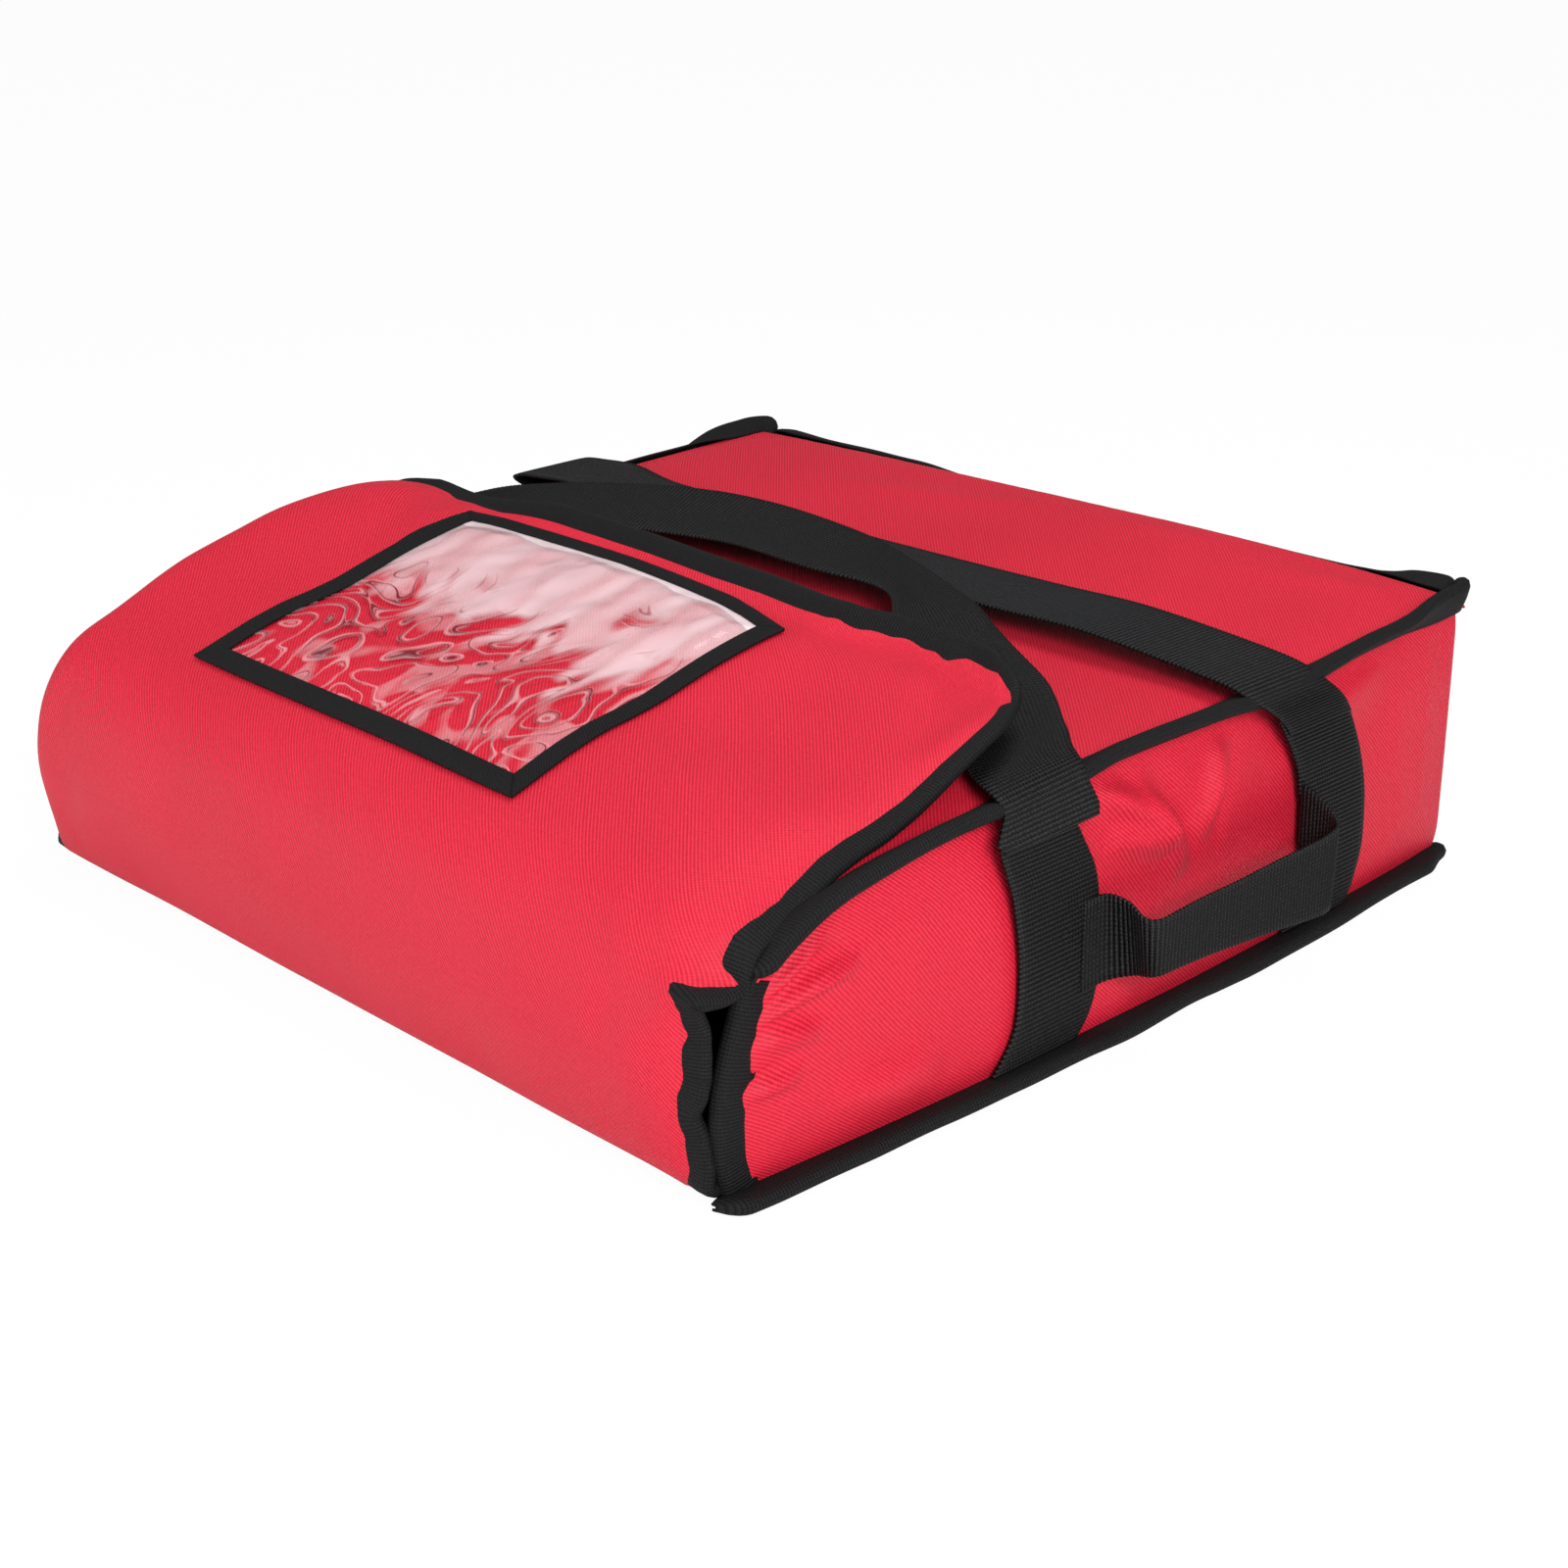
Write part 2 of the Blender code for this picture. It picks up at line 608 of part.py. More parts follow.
def front_strap_rails(end_x, end_y, end_slope):
    """Sewn strap on the wall, then the turn over the top edge and in to the loop."""
    near_y = FRONT_STRAP_Y + WEBBING / 2
    stations = []
    for z in spread(STRAP_FOOT_Z, STANDOFF_Z, 4) + [SEWN_Z]:
        stations.append((sewn_x(near_y, z), FRONT_STRAP_Y, z, WEBBING / 2, 0.0))
    edge = edge_height(FRONT_STRAP_Y - FRONT_LEAN)
    lean_half = slant_half(edge - SEWN_Z, FRONT_LEAN)
    for share in STRAP_RISE_SHARES:
        z = SEWN_Z + share * (edge - SEWN_Z)
        x = sewn_x(near_y, z) + (HANG_X - sewn_x(near_y, z)) * share
        half = WEBBING / 2 + (lean_half - WEBBING / 2) * share
        stations.append((x, FRONT_STRAP_Y - FRONT_LEAN * share, z, half, FRONT_EDGE_TILT * share / 2))
    edge_y = FRONT_STRAP_Y - FRONT_LEAN - WEBBING_THICKNESS
    turn = FRONT_EDGE_Z - edge - EDGE_STAND
    for share in STRAP_TURN_SHARES:
        bend = share * math.pi / 2
        x = HANG_X - turn * (1 - math.cos(bend))
        z = FRONT_EDGE_Z - turn * (1 - math.sin(bend))
        stations.append((x, edge_y, z, lean_half, FRONT_EDGE_TILT * (1 + share) / 2))
    start_x = HANG_X - turn
    end_half = slant_half(1.0, end_slope)
    for share in spread(0.0, 1.0, 5)[1:]:
        x = start_x + (end_x - start_x) * share
        y = edge_y + (end_y - edge_y) * share ** STRAP_SWEEP_POWER
        z = FRONT_EDGE_Z + (LOOP_END_Z - FRONT_EDGE_Z) * share ** 2
        half = lean_half + (end_half - lean_half) * share
        stations.append((x, y, z, half, FRONT_EDGE_TILT + (LOOP_END_TILT - FRONT_EDGE_TILT) * share))
    return rails_from(stations)


def make_front_strap(loop_body):
    end_slope = 2 * LOOP_DROP / LOOP_HALF
    end_y = LOOP_APEX_Y - LOOP_DROP
    right = front_strap_rails(LOOP_APEX_X + LOOP_HALF + GAP, end_y, end_slope)
    left = front_strap_rails(LOOP_HALF - LOOP_APEX_X + GAP, end_y, end_slope)
    ribbon("front_strap_right", MATERIALS["webbing"], right, WEBBING_THICKNESS)
    ribbon("front_strap_left", MATERIALS["webbing"], mirrored(left), WEBBING_THICKNESS)
    stations = []
    for share in spread(-1.0, 1.0, 12):
        half = slant_half(1.0, end_slope * share)
        rise = LOOP_APEX_Z - (LOOP_APEX_Z - LOOP_END_Z) * share ** 2
        tilt = LOOP_TILT - (LOOP_TILT - LOOP_END_TILT) * share ** 2
        x = LOOP_APEX_X + LOOP_HALF * share
        stations.append((x, LOOP_APEX_Y - LOOP_DROP * share ** 2, rise, half, tilt))
    ribbon("front_carry_loop", MATERIALS["webbing"], rails_from(stations), WEBBING_THICKNESS, loop_body)


def make_rear_strap(loop_body):
    near_y = REAR_STRAP_Y - WEBBING / 2
    stations = []
    for z in spread(STRAP_FOOT_Z, STANDOFF_Z, 4) + [SEWN_Z]:
        stations.append((sewn_x(near_y, z), REAR_STRAP_Y, z, WEBBING / 2, 0.0))
    sewn = rails_from(stations)
    ribbon("rear_strap_right", MATERIALS["webbing"], sewn, WEBBING_THICKNESS)
    ribbon("rear_strap_left", MATERIALS["webbing"], mirrored(sewn), WEBBING_THICKNESS)

    def rear_side(rise):
        """One end of the loop, from its sewn lap up to the top edge and over it."""
        lap_x = sewn_x(near_y, SEWN_Z) + WEBBING_THICKNESS + GAP
        lean_half = slant_half(HEIGHT - SEWN_Z, REAR_LEAN)
        end = [(lap_x, REAR_STRAP_Y, SEWN_Z - REAR_LAP, WEBBING / 2, 0.0)]
        for share in (0.0, *STRAP_RISE_SHARES):
            z = SEWN_Z + share * (HEIGHT - SEWN_Z)
            x = lap_x + (HANG_X - lap_x) * min(1.0, 2 * share)
            half = WEBBING / 2 + (lean_half - WEBBING / 2) * min(1.0, 2 * share)
            end.append((x, REAR_STRAP_Y - REAR_LEAN * share, z, half, 0.0))
        turn = rise - EDGE_STAND
        for share in STRAP_TURN_SHARES:
            bend = share * math.pi / 2
            half = lean_half + (WEBBING / 2 - lean_half) * share
            end.append((HANG_X - turn * (1 - math.cos(bend)), REAR_EDGE_Y,
                        HEIGHT + rise - turn * (1 - math.sin(bend)), half, 0.0))
        return end

    right = rear_side(REAR_EDGE_RISE)
    left = [(-x, y, z, half, tilt) for x, y, z, half, tilt in rear_side(REAR_LEFT_RISE)]
    middle = []
    span = right[-1][0]
    other = left[-1][0]
    for share in spread(0.0, 1.0, 12)[1:-1]:
        x = span + (other - span) * share
        arch = math.sin(math.pi * share)
        y = REAR_EDGE_Y + (REAR_MIDDLE_Y - REAR_EDGE_Y) * math.sqrt(arch)
        ends = REAR_EDGE_RISE + (REAR_LEFT_RISE - REAR_EDGE_RISE) * share
        rise = ends + (REAR_MIDDLE_RISE - (REAR_EDGE_RISE + REAR_LEFT_RISE) / 2) * arch
        middle.append((x, y, HEIGHT + rise, WEBBING / 2, 0.0))
    route = right + middle + list(reversed(left))
    ribbon("rear_carry_loop", MATERIALS["webbing"], rails_from(route), WEBBING_THICKNESS, loop_body)


def grab_front_y():
    return FRONT_STRAP_Y + WEBBING / 2 + GAP


def grab_rear_y():
    return REAR_STRAP_Y - WEBBING / 2 - GAP


def grab_foot_x():
    return wall_x(0.0, STANDOFF_Z) + WEBBING_GAP + WEBBING_THICKNESS


def make_grab_handle(name, sign, body):
    """Slack webbing between the two straps, standing off the wall like a staple."""
    low_y = grab_front_y()
    high_y = grab_rear_y()
    foot_x = grab_foot_x()
    half_path = [Vector((foot_x, low_y)), Vector((foot_x, low_y + GRAB_FOOT))]
    half_path += [Vector((foot_x + share_x * GRAB_REACH, low_y + GRAB_FOOT + share_y * GRAB_TURN))
                  for share_x, share_y in GRAB_TURN_SHARES]
    middle = Vector((foot_x + GRAB_REACH, (low_y + high_y) / 2))
    other = [Vector((point.x, low_y + high_y - point.y)) for point in reversed(half_path)]
    rails = []
    for point in catmull_rom(half_path + [middle] + other, 3):
        low = Vector((sign * point.x, point.y, GRAB_Z - GRAB_WEBBING / 2))
        high = Vector((sign * point.x, point.y, GRAB_Z + GRAB_WEBBING / 2))
        rails.append((low, high))
    ribbon(name, MATERIALS["webbing"], rails, WEBBING_THICKNESS, body)


remove_everything()
PARTS = bpy.data.collections.new("pizza_delivery_bag")
bpy.context.scene.collection.children.link(PARTS)
MATERIALS = {
    "shell": principled("red_oxford", (0.58, 0.012, 0.040), 0.75),
    "foam": principled("grey_foam", (0.55, 0.55, 0.53), 0.95),
    "lining": principled("foil_lining", (0.62, 0.63, 0.65), 0.35),
    "binding": principled("black_binding", (0.008, 0.008, 0.009), 0.85),
    "webbing": principled("black_webbing", (0.010, 0.010, 0.011), 0.80),
    "hook": principled("black_fastener", (0.012, 0.012, 0.013), 0.95),
    "vinyl": principled("clear_vinyl", (0.90, 0.86, 0.87), 0.12, 0.35),
}

bend_point, bend_normal = profile_at(BEND_RUN)
flap_front_pivot = pivot("flap_front_pivot", (0.0, FOLD_Y, FOLD_RADIUS))
bend_line = bend_point + bend_normal * (GAP + TAPE)
flap_top_pivot = pivot("flap_top_pivot", (0.0, bend_line.x, bend_line.y))
front_loop_half = slant_half(1.0, 2 * LOOP_DROP / LOOP_HALF)
front_loop_y = LOOP_APEX_Y - LOOP_DROP - front_loop_half
front_loop_z = LOOP_END_Z - front_loop_half * LOOP_END_TILT
front_loop_pivot = pivot("front_carry_loop_pivot", (LOOP_APEX_X, front_loop_y, front_loop_z))
rear_loop_pivot = pivot("rear_carry_loop_pivot", (0.0, REAR_STRAP_Y, SEWN_Z))
grab_pivot_z = GRAB_Z + GRAB_WEBBING / 2
grab_middle_y = (grab_front_y() + grab_rear_y()) / 2
grab_pivot_x = grab_foot_x() - WEBBING_THICKNESS / 2
right_grab_pivot = pivot("grab_handle_right_pivot", (grab_pivot_x, grab_middle_y, grab_pivot_z))
left_grab_pivot = pivot("grab_handle_left_pivot", (-grab_pivot_x, grab_middle_y, grab_pivot_z))

make_bottom()
make_top()
make_side_wall("right", 1)
make_side_wall("left", -1)
make_back_wall()
make_seam_bindings()
make_mouth_bindings()
make_flap(flap_front_pivot, flap_top_pivot)
make_window(flap_top_pivot)
make_fasteners(flap_top_pivot)
make_front_strap(front_loop_pivot)
make_rear_strap(rear_loop_pivot)
make_grab_handle("grab_handle_right", 1, right_grab_pivot)
make_grab_handle("grab_handle_left", -1, left_grab_pivot)

for empty in (flap_front_pivot, flap_top_pivot, front_loop_pivot, rear_loop_pivot,
              right_grab_pivot, left_grab_pivot):
    print(empty.name, [round(value, 5) for value in empty.location])
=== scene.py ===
"""Looks of a soft, insulated pizza delivery bag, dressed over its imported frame.

The script follows the bag as it is sewn: padded panels, their bound seams, the
flap with its ticket window, and then the webbing. Lengths are in metres.
"""

import math

import bmesh
import bpy
import numpy as np
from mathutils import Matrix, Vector, noise
from mathutils.bvhtree import BVHTree


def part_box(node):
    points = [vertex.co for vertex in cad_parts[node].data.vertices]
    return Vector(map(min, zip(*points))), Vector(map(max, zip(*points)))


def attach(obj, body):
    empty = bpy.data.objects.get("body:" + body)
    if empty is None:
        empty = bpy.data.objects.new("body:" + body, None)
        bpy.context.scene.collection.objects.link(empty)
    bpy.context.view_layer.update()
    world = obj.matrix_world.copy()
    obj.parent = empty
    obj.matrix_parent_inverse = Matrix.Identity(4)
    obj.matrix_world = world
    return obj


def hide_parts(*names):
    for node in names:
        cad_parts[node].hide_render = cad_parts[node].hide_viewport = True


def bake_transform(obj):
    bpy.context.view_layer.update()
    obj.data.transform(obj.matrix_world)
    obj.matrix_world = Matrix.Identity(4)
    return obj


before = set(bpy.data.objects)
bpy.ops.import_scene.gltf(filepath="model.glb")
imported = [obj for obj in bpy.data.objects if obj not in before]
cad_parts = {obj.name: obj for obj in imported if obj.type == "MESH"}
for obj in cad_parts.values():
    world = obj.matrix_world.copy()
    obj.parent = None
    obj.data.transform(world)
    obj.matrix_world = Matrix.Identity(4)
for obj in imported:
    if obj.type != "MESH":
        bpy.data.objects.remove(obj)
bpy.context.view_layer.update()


# Camera and studio
# The bag stands on a white sweep. One large soft lamp in front to the left, a fill
# on the right and a soft one above give the even light of a shop photograph.

EYE = Vector((0.9184, -0.8687, 0.5465))
LINE_OF_SIGHT = Vector((-0.6631, 0.6488, -0.3733))
LENS_MM = 61.6
SENSOR_MM = 36.0


def linear(colour):
    """Linear red, green, blue and alpha of an sRGB hex colour."""
    parts = [int(colour[i:i + 2], 16) / 255 for i in (1, 3, 5)]
    return [c / 12.92 if c <= 0.04045 else ((c + 0.055) / 1.055) ** 2.4 for c in parts] + [1.0]


def add(tree, kind, settings=None, inputs=None):
    """Adds a node: settings are its own values, inputs are values or sockets to link."""
    made = tree.nodes.new(kind)
    for key, value in (settings or {}).items():
        setattr(made, key, value)
    for key, value in (inputs or {}).items():
        if isinstance(value, bpy.types.NodeSocket):
            tree.links.new(value, made.inputs[key])
        else:
            made.inputs[key].default_value = value
    return made


def maths(tree, operation, *values):
    """The result of a maths node, fed with numbers or sockets."""
    return add(tree, "ShaderNodeMath", {"operation": operation}, dict(enumerate(values))).outputs[0]


scene = bpy.context.scene
scene.view_settings.view_transform = "Standard"

camera_data = bpy.data.cameras.new("camera")
camera_data.lens = LENS_MM
camera_data.sensor_width = SENSOR_MM
camera = bpy.data.objects.new("camera", camera_data)
camera.location = EYE
camera.rotation_euler = LINE_OF_SIGHT.to_track_quat("-Z", "Y").to_euler()
scene.collection.objects.link(camera)
scene.camera = camera

world = bpy.data.worlds.new("studio")
scene.world = world
world.use_nodes = True
sky = world.node_tree
sky.nodes.clear()
rays = add(sky, "ShaderNodeLightPath").outputs
seen = maths(sky, "MAXIMUM", rays["Is Camera Ray"], rays["Is Transmission Ray"])
toward = add(sky, "ShaderNodeTexCoord").outputs["Generated"]
depth = add(sky, "ShaderNodeSeparateXYZ", None, {0: toward}).outputs[1]
# the room is brighter in front of the bag than behind it
strength = add(sky, "ShaderNodeMapRange", None, {0: depth, 1: -0.8, 2: 0.8, 3: 0.46, 4: 0.14}).outputs[0]
room = add(sky, "ShaderNodeBackground", None, {"Color": linear("#fbfbfc"), "Strength": strength})
white = add(sky, "ShaderNodeBackground", None, {"Color": (1, 1, 1, 1), "Strength": 1.0})
both = add(sky, "ShaderNodeMixShader", None, {0: seen, 1: room.outputs[0], 2: white.outputs[0]})
add(sky, "ShaderNodeOutputWorld", None, {"Surface": both.outputs[0]})

for lamp_name, place, aim, size, power in (
        ("key", (-1.00, -1.70, 0.70), (0.0, -0.1, 0.05), 1.0, 15.0),
        ("fill", (1.70, -0.90, 1.10), (0.1, 0.0, 0.05), 0.8, 46.0),
        ("top", (0.1, 0.4, 1.9), (0.0, 0.0, 0.1), 1.0, 20.0)):
    lamp_data = bpy.data.lights.new(lamp_name, "AREA")
    lamp_data.size = size
    lamp_data.energy = power
    lamp = bpy.data.objects.new(lamp_name, lamp_data)
    lamp.location = place
    lamp.rotation_euler = (Vector(aim) - Vector(place)).to_track_quat("-Z", "Y").to_euler()
    scene.collection.objects.link(lamp)

floor_shape = bmesh.new()
bmesh.ops.create_grid(floor_shape, x_segments=1, y_segments=1, size=8.0)
floor_mesh = bpy.data.meshes.new("floor")
floor_shape.to_mesh(floor_mesh)
floor = bpy.data.objects.new("floor", floor_mesh)
scene.collection.objects.link(floor)
floor_paint = bpy.data.materials.new("white_sweep")
floor_paint.use_nodes = True
sweep = floor_paint.node_tree
sweep.nodes.clear()
matt = add(sweep, "ShaderNodeBsdfDiffuse", None, {"Color": linear("#f2f2f2")})
glow = add(sweep, "ShaderNodeEmission", None, {"Color": (1, 1, 1, 1), "Strength": 1.0})
share = maths(sweep, "MULTIPLY", add(sweep, "ShaderNodeLightPath").outputs["Is Camera Ray"], 0.96)
lit = add(sweep, "ShaderNodeMixShader", None, {0: share, 1: matt.outputs[0], 2: glow.outputs[0]})
add(sweep, "ShaderNodeOutputMaterial", None, {"Surface": lit.outputs[0]})
floor_mesh.materials.append(floor_paint)


# Cloth of the panels
# Each panel is a sandwich: polyester oxford outside, foam in the middle, and foil
# cloth inside. Sewn together at its edges it puffs up like a thin cushion, so each
# outer cloth is let settle as cloth, held at its seams.

OXFORD = 0.0010
FOAM = 0.0080
FOIL = 0.0006
PADDING = 0.0102         # all three layers with the small gaps between them
PINCH = 0.0022           # each face of a padded panel sinks by this at a sewn edge
PINCH_REACH = 0.009
FOAM_INSET = 0.010       # the foam stops short of every edge, so that it isn't sewn through
THREAD = 0.0022          # weave pitch; the real 0.6 mm threads would not show, so they are drawn coarser
CELL = 0.005             # spacing of the cloth that is simulated
SETTLE_REACH = 0.030     # it moves less within this distance of where it is held
HOLLOW_MOST = 0.0018     # deepest hollow beside a fold
CALM_MOST = 0.0010       # the padding goes up into a fold by this at most
CALM_BELOW = 0.0034      # what lies deeper than this is padding or lining
CALM_EDGE = 0.020        # a sheet's unevenness fades out within this of its edges
FOLD_END_AT = 0.006      # folds end this far from a sheet's edges,
FOLD_FADE = 0.009        # after fading over this length


def shade(name, roughness, **sockets):
    """A Principled material with its constant sockets set: it, its tree, its shader and its UV socket."""
    made = bpy.data.materials.new(name)
    made.use_nodes = True
    tree = made.node_tree
    shader = tree.nodes["Principled BSDF"]
    shader.inputs["Roughness"].default_value = roughness
    for key, value in sockets.items():
        shader.inputs[key.replace("_", " ")].default_value = value
    return made, tree, shader, add(tree, "ShaderNodeUVMap", {"uv_map": "UVMap"}).outputs[0]


def speckle(tree, uv, scale, detail):
    settings = {"Vector": uv, "Scale": scale, "Detail": detail}
    return add(tree, "ShaderNodeTexNoise", None, settings).outputs[0]


def waves(tree, uv, *pitches):
    """Angles that run once round in each pitch, along the two directions of the UV map."""
    split = add(tree, "ShaderNodeSeparateXYZ", None, {0: uv}).outputs
    return [maths(tree, "MULTIPLY", split[k], 2 * math.pi / pitch) for k, pitch in enumerate(pitches)]


def colour_ramp(tree, shader, tone, *stops):
    """Colours the shader by the tone: each stop is its place and its colour, the outer ones first."""
    ramp = add(tree, "ShaderNodeValToRGB", None, {0: tone})
    elements = ramp.color_ramp.elements
    for k, (place, colour) in enumerate(stops):
        element = elements[k] if k < 2 else elements.new(place)
        element.position = place
        element.color = linear(colour)
    tree.links.new(ramp.outputs[0], shader.inputs["Base Color"])


def colour_mix(tree, shader, share, first, second):
    mix = add(tree, "ShaderNodeMix", {"data_type": "RGBA"}, {0: share, 6: linear(first), 7: linear(second)})
    tree.links.new(mix.outputs[2], shader.inputs["Base Color"])


def bump(tree, shader, height, strength, distance):
    made = add(tree, "ShaderNodeBump", None, {"Height": height, "Strength": strength, "Distance": distance})
    tree.links.new(made.outputs[0], shader.inputs["Normal"])


def oxford_cloth(name, shadow, body, crest):
    """Polyester oxford, woven with fine slanting ribs, with a low satin gloss; its colour has painted shade
    in the weave's hollows and painted highlight on its crests, besides random tone.
    """
    made, tree, shader, uv = shade(name, 0.58, Sheen_Weight=0.02, Sheen_Roughness=0.4,
                                   Sheen_Tint=linear("#ffb4be"), Specular_IOR_Level=0.25)
    warp, weft = waves(tree, uv, THREAD, THREAD)
    cross = maths(tree, "MULTIPLY", maths(tree, "SINE", warp), maths(tree, "SINE", weft))
    twill = maths(tree, "SINE", maths(tree, "ADD", warp, weft))
    height = maths(tree, "MULTIPLY_ADD", maths(tree, "MULTIPLY_ADD", cross, 0.45, twill), 0.33, 0.5)
    # painted shade and highlight: the weave's hollows are coloured darker and its crests lighter by their
    # height; the noise below adds random tone
    tone = maths(tree, "MULTIPLY_ADD", height, 0.60, -0.06)
    tone = maths(tree, "MULTIPLY_ADD", speckle(tree, uv, 520.0, 3.0), 0.40, tone)
    tone = maths(tree, "MULTIPLY_ADD", speckle(tree, uv, 9.0, 2.0), 0.16, tone)
    colour_ramp(tree, shader, tone, (0.15, shadow), (0.95, crest), (0.52, body))
    bump(tree, shader, height, 0.55, 0.0005)
    return made


def foil_cloth():
    """Aluminised film on cloth: silver, with the fine creases of handled foil."""
    made, tree, shader, uv = shade("aluminised_film", 0.34, Metallic=0.85)
    crease = add(tree, "ShaderNodeTexVoronoi", {"feature": "DISTANCE_TO_EDGE"},
                 {"Vector": uv, "Scale": 60.0, "Randomness": 1.0}).outputs[0]
    grain = speckle(tree, uv, 140.0, 4.0)
    colour_mix(tree, shader, grain, "#a9abaf", "#d9dbde")
    bump(tree, shader, maths(tree, "MULTIPLY_ADD", grain, 0.6, crease), 0.4, 0.0006)
    return made


def foam_sheet():
    """Closed-cell polyethylene foam, pale grey with small bubbles."""
    made, tree, shader, uv = shade("closed_cell_foam", 0.9)
    bubbles = add(tree, "ShaderNodeTexVoronoi", None, {"Vector": uv, "Scale": 900.0}).outputs[0]
    colour_mix(tree, shader, bubbles, "#cfcfca", "#e6e6e1")
    bump(tree, shader, bubbles, 0.3, 0.0005)
    return made


RED_CLOTH = oxford_cloth("polyester_oxford_woven", "#8f0a1f", "#c0142d", "#de3049")
FOIL_CLOTH = foil_cloth()
FOAM_SHEET = foam_sheet()


def refine(points, axis):
    """Twice as many points along one axis, on a smooth curve through the given ones."""
    first = np.take(points, [0], axis)
    last = np.take(points, [-1], axis)
    second = np.take(points, [1], axis)
    before_last = np.take(points, [-2], axis)
    padded = np.concatenate([2 * first - second, points, 2 * last - before_last], axis)
    count = points.shape[axis]
    a, b, c, d = (np.take(padded, range(i, i + count - 1), axis) for i in range(4))
    middle = (9 * (b + c) - (a + d)) / 16
    out_shape = list(points.shape)
    out_shape[axis] = 2 * count - 1
    out = np.empty(out_shape)
    index = [slice(None)] * points.ndim
    index[axis] = slice(0, None, 2)
    out[tuple(index)] = points
    index[axis] = slice(1, None, 2)
    out[tuple(index)] = middle
    return out


def grid(first, second):
    return np.meshgrid(first, second, indexing="ij")


def unit(vectors):
    return vectors / np.maximum(np.linalg.norm(vectors, axis=-1, keepdims=True), 1e-12)


def fold_height(s, t, fold):
    """Height of one fold over a sheet: a ridge with a hollow beside it, fading at both ends.

    A fold is its two ends, in metres along the sheet's two directions, its width and its height.
    """
    start, end, width, height = np.array(fold[0]), np.array(fold[1]), fold[2], fold[3]
    run = end - start
    length = np.linalg.norm(run)
    ahead = run / length
    along = (s - start[0]) * ahead[0] + (t - start[1]) * ahead[1]
    beside = (s - start[0]) * -ahead[1] + (t - start[1]) * ahead[0]
    share = np.clip(along / length, 0, 1)
    fade = np.sin(math.pi * share) ** 0.8 * ((along > 0) & (along < length))
    ridge = np.exp(-(beside / width) ** 2) - 0.35 * np.exp(-((beside - 1.8 * width) / width) ** 2)
    return height * fade * ridge


class Sheet:
    """A smooth sheet through a grid of points, read at shares u and v of its two directions.

    Its outer face is on the side that u crossed with v points to. It has a soft
    unevenness of its own besides the folds that it is given, and at the sides named
    in flush (w, e, s, n) it isn't drawn in by its seam.
    """

    def __init__(self, points, folds=(), unevenness=0.0006, seed=0.0, pinch=PINCH, flush=""):
        self.pinch = pinch
        self.flush = flush
        rough = np.array([[noise.noise((p[0] * 11, p[1] * 11, p[2] * 11 + seed)) for p in row]
                          for row in points])
        for axis in (0, 1, 0, 1):
            points = refine(points, axis)
            rough = refine(rough[..., None], axis)[..., 0]
        self.width = np.linalg.norm(np.diff(points, axis=0), axis=-1).sum(0).mean()
        self.length = np.linalg.norm(np.diff(points, axis=1), axis=-1).sum(1).mean()
        u, v = grid(*(np.linspace(0, 1, count) for count in points.shape[:2]))
        edge = np.minimum(np.minimum(u, 1 - u) * self.width, np.minimum(v, 1 - v) * self.length)
        height = unevenness * rough * np.clip(edge / CALM_EDGE, 0, 1)
        for fold in folds:
            fade = np.clip((edge - FOLD_END_AT) / FOLD_FADE, 0, 1)
            height += fold_height(u * self.width, v * self.length, fold) * fade
        height = np.maximum(height, -HOLLOW_MOST)
        self.points = points
        self.find_normals()
        calm = points + self.normals * np.minimum(height, CALM_MOST)[..., None]
        self.points = points + self.normals * height[..., None]
        self.find_normals()
        self.calm_down(calm)

    def find_normals(self):
        self.normals = unit(np.cross(np.gradient(self.points, axis=0), np.gradient(self.points, axis=1)))

    def calm_down(self, calm, passes=40):
        """The sheet without its sharp folds, which the padding and lining behind it don't follow."""
        for _ in range(passes):
            for axis in (0, 1):
                first, second = np.take(calm, [0], axis), np.take(calm, [1], axis)
                last, before = np.take(calm, [-1], axis), np.take(calm, [-2], axis)
                wide = np.concatenate([2 * first - second, calm, 2 * last - before], axis)
                count = calm.shape[axis]
                low, middle, high = (np.take(wide, range(i, i + count), axis) for i in range(3))
                calm = (low + 2 * middle + high) / 4
        self.calm = calm
        self.calm_normals = unit(np.cross(np.gradient(calm, axis=0), np.gradient(calm, axis=1)))

    def read(self, values, u, v):
        nu, nv = values.shape[:2]
        a = np.clip(np.asarray(u, float), 0, 1) * (nu - 1)
        b = np.clip(np.asarray(v, float), 0, 1) * (nv - 1)
        i = np.minimum(a.astype(int), nu - 2)
        j = np.minimum(b.astype(int), nv - 2)
        s = (a - i)[..., None]
        t = (b - j)[..., None]
        return ((values[i, j] * (1 - s) + values[i + 1, j] * s) * (1 - t)
                + (values[i, j + 1] * (1 - s) + values[i + 1, j + 1] * s) * t)

    def at(self, u, v, lift=0.0):
        lift = np.asarray(lift, float)
        lift = lift[..., None] if lift.ndim else lift
        spot = self.read(self.points, u, v)
        out = unit(self.read(self.normals, u, v))
        if np.any(lift < -CALM_BELOW):
            spot = self.read(self.calm, u, v)
            out = unit(self.read(self.calm_normals, u, v))
        return spot + out * lift


